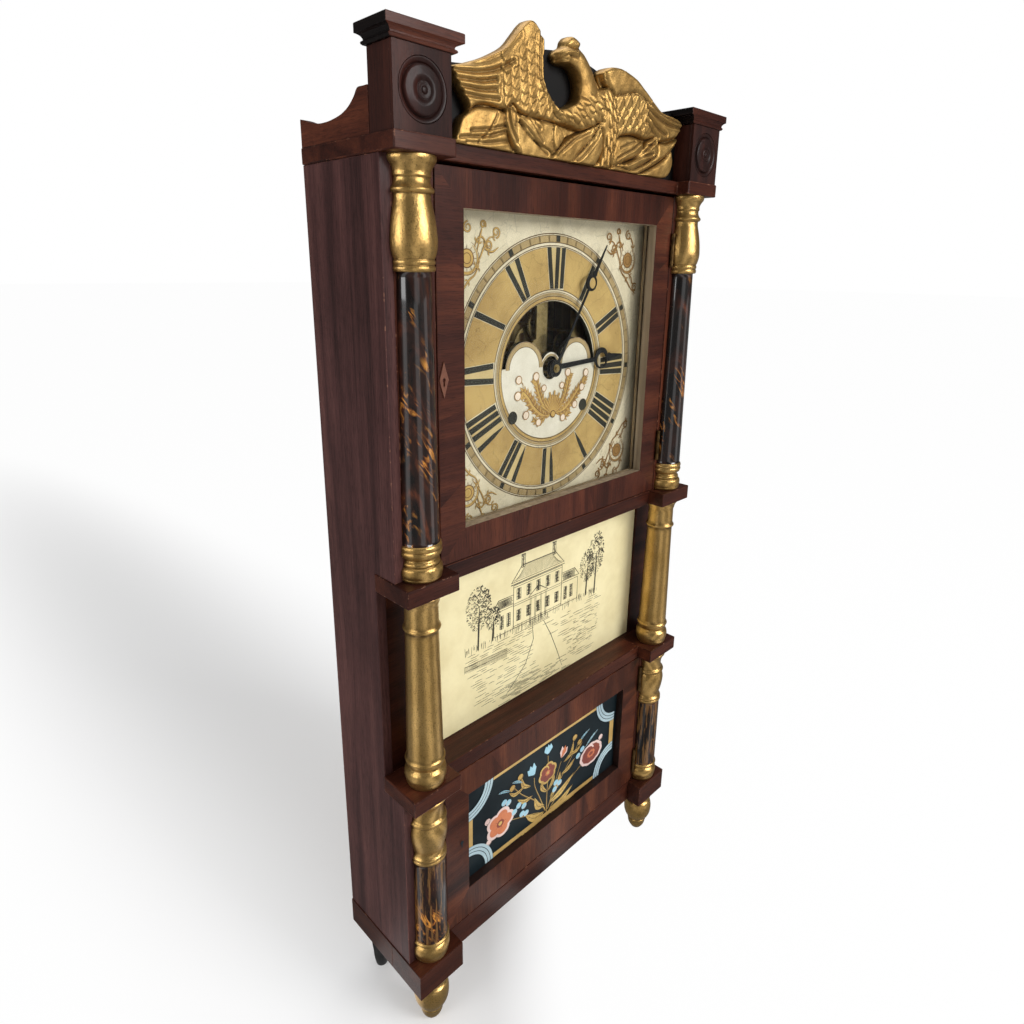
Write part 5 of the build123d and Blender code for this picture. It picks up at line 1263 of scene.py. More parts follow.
def makeCrest():
    step, edgeHeight = crest["grid"], crest["edgeHeight"]
    outline = smoothLoop(crest["outline"], 4)
    gridX, gridZ = np.meshgrid(np.arange(*crest["across"], step), np.arange(*crest["up"], step))
    places = np.stack([gridX.ravel(), gridZ.ravel()], 1)
    inside = insideOf(places, outline)
    gap, foot = nearestOn(places, outline)
    height = layFeathers(places, crestHeights(places))
    cutCrest(places, height)
    field = height.reshape(gridX.shape)
    for axis in (0, 1):
        field = sum(w * np.roll(field, s, axis) for w, s in ((0.08, -1), (0.84, 0), (0.08, 1)))
    rim = dome(gap / crest["edgeWidth"]).reshape(gridX.shape)
    field = np.clip(edgeHeight + (field - edgeHeight) * rim, edgeHeight, crest["mostHeight"]).ravel()

    # Cells of the grid that lie inside, their outer corners moved onto the outline
    columns = gridX.shape[1]
    cell = insideOf(places + step / 2, outline).reshape(gridX.shape)[:-1, :-1]
    rowIndex, columnIndex = np.where(cell)
    corner = rowIndex * columns + columnIndex
    quads = np.stack([corner, corner + 1, corner + columns + 1, corner + columns], 1)
    uses = np.zeros(len(places), int)
    np.add.at(uses, quads.ravel(), 1)
    edge = (uses > 0) & ((uses < 4) | ~inside)
    moved = places.copy()
    moved[edge] = foot[edge]
    moved[:, 1] = np.maximum(moved[:, 1], 0.15)
    used = np.where(uses > 0)[0]
    number = np.full(len(places), -1)
    number[used] = np.arange(len(used))
    depth = crest["back"] - np.where(edge, edgeHeight, field)
    bm = bmesh.new()
    verts = [bm.verts.new(at(moved[i, 0], depth[i], case["top"] + moved[i, 1])) for i in used]
    for quad in number[quads]:
        bm.faces.new([verts[i] for i in quad])
    bmesh.ops.remove_doubles(bm, verts=bm.verts[:], dist=0.00004)
    for face in bm.faces:
        face.smooth = True
    border = [e for e in bm.edges if e.is_boundary]
    made = bmesh.ops.extrude_edge_only(bm, edges=border)["geom"]
    for v in made:
        if isinstance(v, bmesh.types.BMVert):
            v.co.y = (case["doorPlane"] + crest["back"]) * 0.001
    backEdges = [e for e in made if isinstance(e, bmesh.types.BMEdge) and e.is_boundary]
    bmesh.ops.triangle_fill(bm, edges=backEdges, use_beauty=True)
    bmesh.ops.recalc_face_normals(bm, faces=bm.faces)
    mesh = bpy.data.meshes.new("eagleCrest")
    bm.to_mesh(mesh)
    bm.free()
    mesh.materials.append(finishes["giltCarving"])
    mesh.attributes.new("tone", "FLOAT", "FACE")
    keepMesh("eagleCrest", mesh, nodes=["eagle_crest"], slotName="gilt")


makeCrest()
print("crest carved")


doors = {
    "thickness": 16.0,
    "rebate": 10.0,
    "puttyDepth": (12.7, 15.9),
    "puttyGap": 0.4,
    "lap": 5.3,
    "halfWidth": 168.0,
    "veneer": 0.08,
    "veneerInset": 0.55,
    "seed": 11,
    # Tones of the veneer sheets: top, bottom, left and right
    "upper": {
        "node": "upper_door_frame", "z": (528.0, 866.5), "stile": 30.0, "rails": (30.5, 30.5),
        "finishes": ["upWood", "acrossWood", "reveal", "putty"], "bolt": bolt["door"],
        "tones": (
            (0.50, 0.42, 0.47), (0.46, 0.55, 0.44), (0.40, 0.5, 0.44, 0.52, 0.42),
            (0.5, 0.44, 0.54, 0.46, 0.4), ),
    },
    "lower": {
        "node": "lower_door_frame", "z": (94.0, 291.5), "stile": 32.0, "rails": (38.0, 35.0),
        # The lower door's reveal takes the painted shade
        "finishes": ["lowerUp", "lowerAcross", "shadedReveal", "putty"], "bolt": None,
        "tones": (
            (0.42, 0.62, 0.5, 0.66, 0.45), (0.5, 0.36, 0.58, 0.42), (0.55, 0.38, 0.62), (0.44, 0.66, 0.5),
        ),
    },
}


def alongLine(line, share):
    (x0, z0), (x1, z1) = line
    return (x0 + (x1 - x0) * share, z0 + (z1 - z0) * share)


def makeDoor(name, body, row):
    rng = random.Random(doors["seed"])
    z0, z1 = row["z"]
    outer = doors["halfWidth"]
    inner = outer - row["stile"]
    low, high = z0 + row["rails"][0], z1 - row["rails"][1]
    lap, gap, inset = doors["lap"], doors["puttyGap"], doors["veneerInset"]
    work = newWork()
    layers = (((0, doors["rebate"]), 0.0), ((doors["rebate"], doors["thickness"]), lap))
    for (near, far), cut in layers:
        x, bottom, top = inner + cut, low - cut, high + cut
        bars = (
            ([(-outer, z1), (-x, top), (x, top), (outer, z1)], (0, -1)),
            ([(-outer, z0), (outer, z0), (x, bottom), (-x, bottom)], (0, 1)),
            ([(-outer, z0), (-x, bottom), (-x, top), (-outer, z1)], (1, 0)),
            ([(outer, z0), (outer, z1), (x, top), (x, bottom)], (-1, 0)),
        )
        for index, (outline, (acrossWay, upWay)) in enumerate(bars):

            def pick(normal, acrossWay=acrossWay, upWay=upWay, wood=0 if index < 2 else 1):
                return 2 if normal.x * acrossWay + normal.z * upWay > 0.8 else wood

            prism(work, outline, near, far, "front", ease=0.5, tone=0.42, pick=pick)
    # Putty holds the glass in its rebate
    near, far = doors["puttyDepth"]
    x, bottom, top, wide = inner + gap, low - gap, high + gap, lap - 2 * gap
    for a, b, c, d in (
        (-x - wide, bottom - wide, x + wide, bottom), (-x - wide, top, x + wide, top + wide),
        (-x - wide, bottom, -x, top), (x, bottom, x + wide, top),
    ):
        prism(work, [(a, b), (c, b), (c, d), (a, d)], near, far, "front", ease=0.6, finish=3)
    # Each bar is faced with sheets of veneer of uneven lengths
    newLayers()
    o, i, up, down = outer - inset, inner + inset, high + inset, low - inset
    top, bottom = z1 - inset, z0 + inset
    rows = (
        (((-o, top), (o, top)), ((-i, up), (i, up)), 0),
        (((-o, bottom), (o, bottom)), ((-i, down), (i, down)), 0),
        (((-o, top), (-o, bottom)), ((-i, up), (-i, down)), 1),
        (((o, top), (o, bottom)), ((i, up), (i, down)), 1),
    )
    for (outerLine, innerLine, wood), shades in zip(rows, row["tones"]):
        cuts = [0.0]
        for _ in shades:
            cuts.append(cuts[-1] + rng.uniform(0.8, 1.3))
        cuts = [value / cuts[-1] for value in cuts]
        for start, end, shade in zip(cuts, cuts[1:], shades):
            corners = ((outerLine, start), (outerLine, end), (innerLine, end), (innerLine, start))
            painted(work, [alongLine(*corner) for corner in corners], -doors["veneer"], wood, shade)
    room = boltRoom(*row["bolt"]) if row["bolt"] else None
    makePiece(name, work, row["finishes"], body, [row["node"]], "mahogany", room)


makeDoor("upperDoor", "upper_door", doors["upper"])
makeDoor("lowerDoor", "lower_door", doors["lower"])
print("doors made")

dial = {
    "depth": (24.5, 29.5),
    "half": 150.0,
    "arbor": 691.5,
    "centre": (0.8, 688.3),
    "windowRadius": 70.3,
    "lobe": (38.6, 694.0, 26.3),
    "arch": (0.0, 693.5, 14.0),
    "shoulder": 695.6,
    "hole": 12.0,
    "winding": ((-54.5, 646.0), (54.5, 646.0)),
    "windingRadius": 5.5,
    "rings": ((134.4, 0.95), (132.9, 0.5), (126.2, 0.9), (123.1, 0.8), (121.8, 0.4), (81.3, 0.8), (79.0, 0.6),
              (74.9, 0.8), (71.2, 1.0)),
    # Bands of colour: inner and outer radius, and which of the dial's finishes
    "bands": ((126.4, 133.0, 3), (75.5, 78.2, 3), (71.3, 75.0, 2)),
    "paintLift": 0.06,
    "strokeWidth": 6.0,
    "waist": 98,
    # The bars of each hour, as offsets at its head and its foot
    "hours": {
        12: ((-7.6, -2.3), (5.6, 4.3), (14.1, 12.0)),
        1: ((2.6, 2.2),),
        2: ((1.9, -0.2), (8.6, 7.0)),
        3: ((-5.6, -4.0), (2.8, 2.8), (11.0, 8.8)),
        4: ((-10.2, -9.4), (-2.2, -2.3), (6.0, 4.7), (14.2, 11.6)),
        5: ((-3.0, -0.6, "wedge"),),
        6: ((8.0, 6.0), (-5.6, -3.6, "wedge")),
        7: ((13.8, 9.5), (5.8, 2.8), (-8.2, -6.2, "wedge")),
        8: ((22.0, 15.6), (14.0, 8.2), (5.4, 0.6), (-8.6, -8.4, "wedge")),
        9: ((0.2, -2.4), (9.8, 12.0)),
        10: ((0.6, 7.0),),
        11: ((-5.0, 0.2), (9.2, 6.2)),
    },
    "gap": 0.55,
    "ring": (81.6, 121.7),
    # Rims of the two lobes: how far in from the edge, width, finish, and how near they come to the arch
    "archRim": 13.2,
    "rimLimit": 69.5,
    "rims": ((2.6, 5.0, 3, 0.4), (0.5, 0.6, 8, 0), (5.1, 0.7, 4, -4.2)),
    # Marks: how many, radius, width, length, how far beside, shift, which are left out, paint and lift
    "marks": {
        "hourBlocks": (12, 129.7, 5.4, 5.8, 5.0, 1, 1000, "dialBlack", 0.45),
        "minuteTicks": (60, 129.7, 0.45, 5.4, 5.0, 0, 5, "dialBrown", 0.4),
        "minuteTickPairs": (60, 129.7, 0.3, 5.4, 6.1, 0, 5, "dialBrown", 0.4),
    },
}

finishes["dialCream"] = paint("dialCream", rgb(224, 211, 186), rgb(200, 186, 158), 0.55, 0.3, crackle=0.45)
finishes["dialWhite"] = paint("dialWhite", rgb(222, 214, 200), rgb(202, 192, 174), 0.5, 0.2)
finishes["dialGold"] = paint("dialGold", rgb(196, 164, 104), rgb(168, 136, 82), 0.42, 0.26, 0.12, crackle=0.5)
finishes["dialPale"] = paint("dialPaleGold", rgb(176, 152, 110), rgb(150, 126, 86), 0.45, 0.3, 0.1)
finishes["dialBrown"] = paint("dialBrownLine", rgb(98, 76, 48), rgb(74, 56, 36), 0.5, 0.2)
finishes["dialBlack"] = paint("dialBlack", rgb(52, 50, 42), rgb(36, 34, 28), 0.4, 0.3)
finishes["scrollGold"] = paint("scrollGold", rgb(204, 168, 100), rgb(176, 140, 80), 0.42, 0.2, 0.12)
finishes["scrollBrown"] = paint("scrollBrown", rgb(166, 126, 74), rgb(138, 102, 58), 0.45, 0.25, 0.08)
finishes["scrollDark"] = paint("scrollUmber", rgb(122, 86, 48), rgb(96, 66, 38), 0.45, 0.2)
finishes["dialStraw"] = paint("dialStraw", rgb(204, 180, 130), rgb(182, 156, 106), 0.45, 0.22, 0.05)
finishes["petalPale"] = paint("petalPale", rgb(232, 214, 198), rgb(214, 194, 176), 0.5, 0.1)
dialFinishes = [
    "dialCream", "dialWhite", "dialGold", "dialPale", "dialBrown", "dialBlack", "scrollGold", "scrollBrown",
    "scrollDark", "petalPale", "dialStraw",
]


def windowLoop():
    x, z, radius = dial["lobe"]
    centreZ, window, shoulder = dial["centre"][1], dial["windowRadius"], dial["shoulder"]
    archX, archZ, archRadius = dial["arch"]
    start = math.degrees(math.acos((shoulder - centreZ) / window))
    loop = arc(0.0, centreZ, window, -start, start, 73)
    lobe = arc(0, z, radius, math.degrees(math.acos((shoulder - z) / radius)), -90, 40)
    lobe = [(x + a, b) for a, b in lobe if math.hypot(x + a - archX, b - archZ) > archRadius]
    last = math.degrees(math.atan2(lobe[-1][0] - archX, lobe[-1][1] - archZ))
    arch = arc(archX, archZ, archRadius, last, -last, 14)[1:-1]
    return loop + lobe + arch + [(-a, b) for a, b in lobe[::-1]]


def flattened(points, hour):
    turn = math.radians(hour * 30)
    x, z = dial["centre"]
    cosine, sine = math.cos(turn), math.sin(turn)
    return [(x + a * cosine + b * sine, z - a * sine + b * cosine) for a, b in points]


# How far the bars of an hour reach to one side, at their heads and at their feet
def hourEdges(hour, side):
    wide, gap = dial["strokeWidth"] / 2, dial["gap"]
    heads, feet = [], []
    for head, heel, *wedge in dial["hours"][hour]:
        heads.append(head + side * (wide + gap))
        feet.append(heel + side * ((0.4 if wedge else wide * 0.9) + gap))
    chosen = max if side > 0 else min
    return chosen(heads), chosen(feet)


# Gold between the numerals and inside them, pale bands and brown lines, then the numerals
def paintHours(work, depth):
    x, z = dial["centre"]
    inner, outer = dial["ring"]
    wide, gap = dial["strokeWidth"] / 2, dial["gap"]
    for hour in range(1, 13):
        right, rightFoot = hourEdges(hour, 1)
        left, leftFoot = hourEdges(hour % 12 + 1, -1)
        start, startFoot = math.degrees(math.asin(right / outer)), math.degrees(math.asin(rightFoot / inner))
        end, endFoot = math.degrees(math.asin(left / outer)), math.degrees(math.asin(leftFoot / inner))
        turn = hour * 30
        loop = arc(x, z, outer, turn + start, turn + (30 + end), 14)
        loop += arc(x, z, inner, turn + (30 + endFoot), turn + startFoot, 12)
        painted(work, loop, depth, 2)
        if len(dial["hours"][hour]) > 1:
            (a, b), (c, d) = hourEdges(hour, -1), hourEdges(hour, 1)
            high, low, spare = outer - 0.6, inner + 0.6, 2 * gap
            shape = [(a + spare, high), (c - spare, high), (d - spare, low), (b + spare, low)]
            painted(work, flattened(shape, hour), depth, 10)
    for low, high, finish in dial["bands"]:
        stroke(work, arc(x, z, (low + high) / 2, 0, 356.25, 96), (high - low,), depth, finish, closed=True)
    for radius, width in dial["rings"]:
        stroke(work, arc(x, z, radius, 0, 357.5, 144), (width,), depth - 0.04, 4, closed=True)
    for hour, bars in dial["hours"].items():
        for head, heel, *wedge in bars:
            waist, height, narrow = head * 0.45 + heel * 0.55, dial["waist"], wide * 0.9
            if wedge:
                shape = [
                    (head - wide, outer - 0.5), (head + wide, outer - 0.5), (waist + wide * 0.8, height),
                    (heel + 0.3, inner + 1), (heel - 0.3, inner + 1), (waist - wide * 0.8, height),
                ]
            else:
                shape = [
                    (head - wide, outer - 0.3), (head + wide, outer - 0.3), (heel + narrow, inner + 0.4),
                    (heel - narrow, inner + 0.4),
                ]
            painted(work, flattened(shape, hour), depth - 0.08, 5)


# The middle is whiter than the corners; gold rims go round the two lobes and the arch
def paintMiddle(work, depth):
    arbor, centreZ, window = dial["arbor"], dial["centre"][1], dial["windowRadius"]
    rise = math.degrees(math.acos((dial["shoulder"] - centreZ) / window))
    middle = arc(0, centreZ, window, rise + 0.6, 359.4 - rise, 150) + windowLoop()[73:][::-1]
    painted(work, middle, depth, 1, holes=[arc(0, arbor, dial["hole"], 0, 351, 40)])
    # Over each winding hole a worn brown ring, then a black disc of painted shade where the hole shows dark
    for x, z in dial["winding"]:
        spot(work, x, z, dial["windingRadius"] + 1.2, depth, 4, 350, 36)
        spot(work, x, z, dial["windingRadius"] + 0.7, depth, 5, 350, 36)
    stroke(work, arc(0, arbor, dial["archRim"], -80, 80, 40), (2.0,), depth, 3)
    x, z, radius = dial["lobe"]
    archX, archZ, archRadius = dial["arch"]
    for sign in (-1, 1):
        for away, width, finish, clear in dial["rims"]:
            line = []
            for angle in np.radians(np.linspace(-92, 90, 70)):
                a, b = sign * (x + (radius - away) * math.sin(angle)), z + (radius - away) * math.cos(angle)
                outside = math.hypot(a - archX, b - archZ) > archRadius + clear
                if outside and math.hypot(a, b - centreZ) < dial["rimLimit"]:
                    line.append((a, b))
            stroke(work, line, (width,), depth, finish)


def setMarks(depth):
    tree = marksTree()
    for name, (count, radius, width, length, beside, shift, leaveOut, finish, lift) in dial["marks"].items():
        values = {
            "Count": count, "Radius": radius * 0.001, "Width": width * 0.001, "Length": length * 0.001,
            "Beside": beside * 0.001, "Shift": float(shift), "Leave Out": float(leaveOut),
            "Centre": at(dial["centre"][0], depth - lift, dial["centre"][1]), "Paint": finishes[finish],
        }
        keepMesh(name, grown(name, tree, [(0, 0, 0)], values))


def makeDial():
    work = newWork()
    half, z = dial["half"], dial["arbor"]
    near, far = dial["depth"]
    square = [(-half, z - half), (half, z - half), (half, z + half), (-half, z + half)]
    winding = [arc(x, height, dial["windingRadius"], 0, 350, 36) for x, height in dial["winding"]]
    pierced(work, [square, windowLoop(), arc(0, z, dial["hole"], 0, 351, 40), *winding], near, far, 0, 5)
    newLayers()
    depth = near - dial["paintLift"]
    paintHours(work, depth)
    paintMiddle(work, depth)
    makeScrolls(work, depth - 0.3)
    newLayers()
    makeAcanthus(work, depth - 0.3)
    makePiece("dial", work, dialFinishes, nodes=["dial_board"], slotName="dial_paint")
    setMarks(depth)


# Corner ornament, counted from its rosette towards the middle of the dial
scrolls = {
    "corners": (
        (-114, 797.5, -1, 1, 6), (122, 799.5, 1, 1, 7), (-114, 580.5, -1, -1, 6), (122, 582.0, 1, -1, 7),
    ),
    "rays": (8.8, 11.4),
    "curls": (
        (1, 26, 5.0, 200), (35, 23, 5.0, 20), (26, 12, 4.6, 90), (-15, -29, 4.6, 250), (19, 29, 3.6, 330),
    ),
    "leafy": (0, 5),
    "stems": (
        ((6, -12), (15, 0), (21, 11), (27, 18), (34, 19)),
        ((-9, 10), (-8, 17), (-4, 23), (0, 22)),
        ((9, 10), (14, 18), (20, 17), (26, 8)),
        ((-2, -14), (-8, -18), (-10, -24), (-14, -25)),
        ((12, 6), (16, 20), (18, 26)),
        ((15, -2), (10, -13), (2, -19), (-8, -30), (-18, -36)),
        ((21, 8), (30, 6), (38, 10)),
    ),
}


# A fine gilt line with a brown edge, and small leaves on both sides of it
def tendril(work, line, width, depth, finish, leaves, reach):
    path = smoothPath(line, 7)
    stroke(work, path, (width * 0.7, width * 1.7, width * 0.7), depth, 8)
    stroke(work, path + np.array([0.12, 0.16]), (width * 0.35, width, width * 0.4), depth - 0.01, finish)
    for step in np.linspace(3, len(path) - 4, leaves).astype(int):
        way = path[step + 1] - path[step - 1]
        way /= np.hypot(*way)
        side = np.array([-way[1], way[0]])
        for sign in (-1, 1):
            tip = path[step] + side * sign * reach * 0.8 + way * reach * 0.8
            bend = (path[step] + tip) / 2 + side * sign * reach * 0.12
            leaf = smoothPath([path[step], bend, tip], 4)
            stroke(work, leaf, (0.5, reach * 0.42, 0.2), depth, 8)
            stroke(work, leaf, (0.3, reach * 0.26, 0.1), depth - 0.01, finish)


def curl(work, x, z, radius, start, depth, finish):
    line = spiral(x, z, radius * 0.25, radius, start, start + 520, 34)
    stroke(work, line, (0.8, 1.9, 1.7), depth, 8)
    stroke(work, line, (0.5, 1.1, 1.0), depth - 0.01, finish)


def makeScrolls(work, depth):
    for x, z, side, up, finish in scrolls["corners"]:
        newLayers()
        spot(work, x, z, 8.4, depth - 0.01, 8, 345, 24)
        spot(work, x, z, 7.4, depth - 0.02, finish, 345, 24)
        stroke(work, arc(x, z, 4.6, 0, 345, 20), (0.7,), depth - 0.03, 8, closed=True)
        stroke(work, arc(x, z, 12.6, 30, 300, 30), (0.5, 2.6, 0.5), depth - 0.01, finish)
        stroke(work, arc(x, z, 14.3, 20, 320, 30), (0.3, 0.7, 0.3), depth - 0.02, 8)
        for turn in range(0, 360, 30):
            heading = math.radians(turn)
            ray = [(x + r * math.sin(heading), z + r * math.cos(heading)) for r in scrolls["rays"]]
            stroke(work, ray, (0.7, 0.3), depth - 0.02, 8)
        for index, stem in enumerate(scrolls["stems"]):
            line = [(x - side * a, z + up * b) for a, b in stem]
            tendril(work, line, 1.3, depth - 0.02, finish, 3 if index in scrolls["leafy"] else 1, 4.4)
        for a, b, radius, start in scrolls["curls"]:
            curl(work, x - side * a, z + up * b, radius, start, depth - 0.03, finish)


# The middle ornament: curled leaves both ways from a shell, with pale berries on fine stems
acanthus = {
    "centre": (4.0, 688.3),
    "shell": (1, -46),
    "leaves": (
        (((-2, -46), (-14, -45), (-27, -36), (-37, -24), (-45, -18), (-48, -24)), (2, 9, 12, 8, 2)),
        (((-5, -42), (-14, -34), (-21, -22), (-25, -11), (-31, -6)), (2, 8, 8, 5, 1)),
        (((5, -46), (18, -44), (30, -36), (40, -26), (49, -18), (53, -12)), (2, 9, 10, 7, 2)),
        (((8, -42), (17, -33), (22, -21), (25, -11), (29, -5)), (2, 7, 7, 5, 1)),
        (((-10, -47), (-20, -52), (-30, -48)), (2, 5, 1)),
        (((12, -47), (20, -51), (29, -47)), (2, 5, 1)),
    ),
    "berries": (
        (-51, -5, 4.0, -45, -18), (-26, -4, 4.2, -26, -12), (-52, -21, 4.4, -42, -22),
        (-40, -42, 4.2, -30, -36), (-21, -52, 3.8, -14, -47), (-14, -17, 3.4, -18, -26),
        (23, -4, 4.2, 24, -12), (53, -7, 4.0, 49, -18), (14, -17, 3.4, 19, -26), (47, -22, 4.0, 40, -26),
        (17, -52, 3.8, 14, -47), (36, -40, 4.0, 30, -36), ),
}


def makeAcanthus(work, depth):
    x, z = acanthus["centre"]
    for a, b, radius, c, d in acanthus["berries"]:
        bend = ((a + c) / 2 + (b - d) * 0.25, (b + d) / 2 - (a - c) * 0.25)
        line = smoothPath([(x + c, z + d), (x + bend[0], z + bend[1]), (x + a, z + b)], 6)
        stroke(work, line, (1.5, 1.0), depth - 0.01, 8)
        stroke(work, line, (0.8, 0.5), depth - 0.02, 6)
    for line, widths in acanthus["leaves"]:
        path = smoothPath([(x + a, z + b) for a, b in line], 8)
        stroke(work, path, widths, depth - 0.03, 7)
        ways = np.gradient(path, axis=0)
        ways /= np.hypot(*ways.T)[:, None]
        sides = np.stack([-ways[:, 1], ways[:, 0]], 1)
        spread = np.interp(np.linspace(0, 1, len(path)), np.linspace(0, 1, len(widths)), widths) / 2
        for step in range(2, len(path) - 2, 3):
            for side in (-1, 1):
                root = path[step]
                tip = root + sides[step] * side * (spread[step] + 2.2) + ways[step] * 4.0
                bend = root + sides[step] * side * (spread[step] * 0.7) + ways[step] * 0.6
                lobe = smoothPath([root, bend, tip], 5)
                stroke(work, lobe, (1.6, 3.4, 0.5), depth - 0.04, 7)
                stroke(work, lobe, (0.5, 1.5, 0.3), depth - 0.05, 6)
        stroke(work, path + sides * 0.6, np.array(widths) * 0.3, depth - 0.07, 6)
        stroke(work, path - sides * 0.9, (0.3, 0.8, 0.2), depth - 0.08, 8)
    # The shell fans out from below the leaves, its ribs long and short by turns
    footX, footZ = acanthus["shell"]
    hubX, hubZ = x + footX, z + footZ
    for turn in range(-66, 67, 12):
        heading = math.radians(turn)
        far = 25 if turn % 24 == 6 else 21
        tip = (hubX + 0.75 * far * math.sin(heading), hubZ + far * math.cos(heading))
        root = (x + 1, z - 47)
        middle = ((root[0] + tip[0]) / 2, (root[1] + tip[1]) / 2)
        stroke(work, np.array([root, middle, tip]), (1.2, 3.6, 2.6), depth - 0.06, 7)
        stroke(work, np.array([root, tip]), (0.5, 1.8), depth - 0.07, 6)
    spot(work, hubX, hubZ, 4.2, depth - 0.09, 8, 340, 18)
    spot(work, hubX, hubZ, 3.0, depth - 0.1, 6, 340, 18)
    for a, b, radius, _, _ in acanthus["berries"]:
        spot(work, x + a, z + b, radius + 0.5, depth - 0.1, 7)
        spot(work, x + a, z + b, radius - 0.5, depth - 0.11, 9)


makeDial()
print("dial painted")


# Hands with open moon rings: rows are places along the hand and half widths
hands = {
    "centre": (0.0, 691.5),
    "pore": 2.6,
    "minute": {
        "node": "minute_hand", "body": "centre", "depth": (16.5, 17.5), "angle": 31.5, "boss": 8.6,
        "rows": ((-9, 1.6), (0, 2.2), (9, 1.9), (40, 1.5), (72, 1.4), (91, 1.3), (91.5, 1.0)),
        "tip": ((107, 1.4), (109, 3.6), (112, 2.2), (120, 1.5), (134, 1.0), (143.4, 0.4)),
        "ring": (99.2, 8.6, 5.6, 1.9),
    },
    "hour": {
        "node": "hour_hand", "body": "hour", "depth": (20.0, 21.0), "angle": 87.0, "boss": 9.4,
        "rows": ((-9, 2.6), (0, 3.2), (9, 2.8), (40, 2.5), (66, 2.4), (68, 1.6)),
        "tip": ((90.5, 1.8), (92.5, 4.6), (96, 3.0), (104, 2.0), (114, 0.6)),
        "ring": (79.0, 11.6, 8.0, 2.2),
    },
}


def makeHand(name, row):
    turn = math.radians(row["angle"])
    hubX, hubZ = hands["centre"]

    def turned(along, depth, across):
        x = hubX + along * math.sin(turn) + across * math.cos(turn)
        return at(x, depth, hubZ + along * math.cos(turn) - across * math.sin(turn))

    def disc(along, across, radius, count):
        angles = np.linspace(0, 2 * math.pi, count, endpoint=False)
        return [(along + radius * math.cos(a), across + radius * math.sin(a)) for a in angles]

    near, far = row["depth"]
    work = newWork()
    for part in (row["rows"], row["tip"]):
        loop = [(a, -w) for a, w in part] + [(a, w) for a, w in part[::-1]]
        pierced(work, [loop], near, far, turned=turned)
    place, outer, inner, shift = row["ring"]
    moon = [disc(place, 0.0, outer, 48), disc(place + 0.6, shift, inner, 40)]
    pierced(work, moon, near - 0.05, far + 0.05, turned=turned)
    boss = [disc(0.0, 0.0, row["boss"], 48), disc(0.0, 0.0, hands["pore"], 24)]
    pierced(work, boss, near - 0.1, far + 0.1, turned=turned)
    makePiece(name, work, ["handMetal"], row["body"], [row["node"]], "black_steel")


makeHand("minuteHand", hands["minute"])
makeHand("hourHand", hands["hour"])
print("hands made")

finishes["night"] = paint("tabletNight", rgb(28, 38, 42), rgb(19, 27, 31), 0.3, 0.1, specular=0.12)
finishes["borderGold"] = paint("borderGold", rgb(206, 172, 106), rgb(180, 146, 84), 0.35, 0.14, 0.1)
finishes["borderBlue"] = paint("borderBlue", rgb(176, 198, 204), rgb(156, 178, 186), 0.35, 0.1)
finishes["petalBlue"] = paint("petalBlue", rgb(164, 206, 220), rgb(128, 178, 196), 0.35, 0.1)
finishes["petalCoral"] = paint("petalCoral", rgb(206, 126, 86), rgb(176, 92, 58), 0.35, 0.14)
finishes["petalWine"] = paint("petalWine", rgb(142, 74, 58), rgb(112, 54, 46), 0.35, 0.14)
finishes["petalBlush"] = paint("petalBlush", rgb(226, 202, 194), rgb(204, 176, 168), 0.35, 0.1)
finishes["leafGold"] = paint("leafGold", rgb(214, 182, 108), rgb(176, 140, 72), 0.35, 0.2, 0.1)
finishes["leafShade"] = paint("leafShade", rgb(110, 84, 44), rgb(84, 62, 34), 0.35, 0.2)
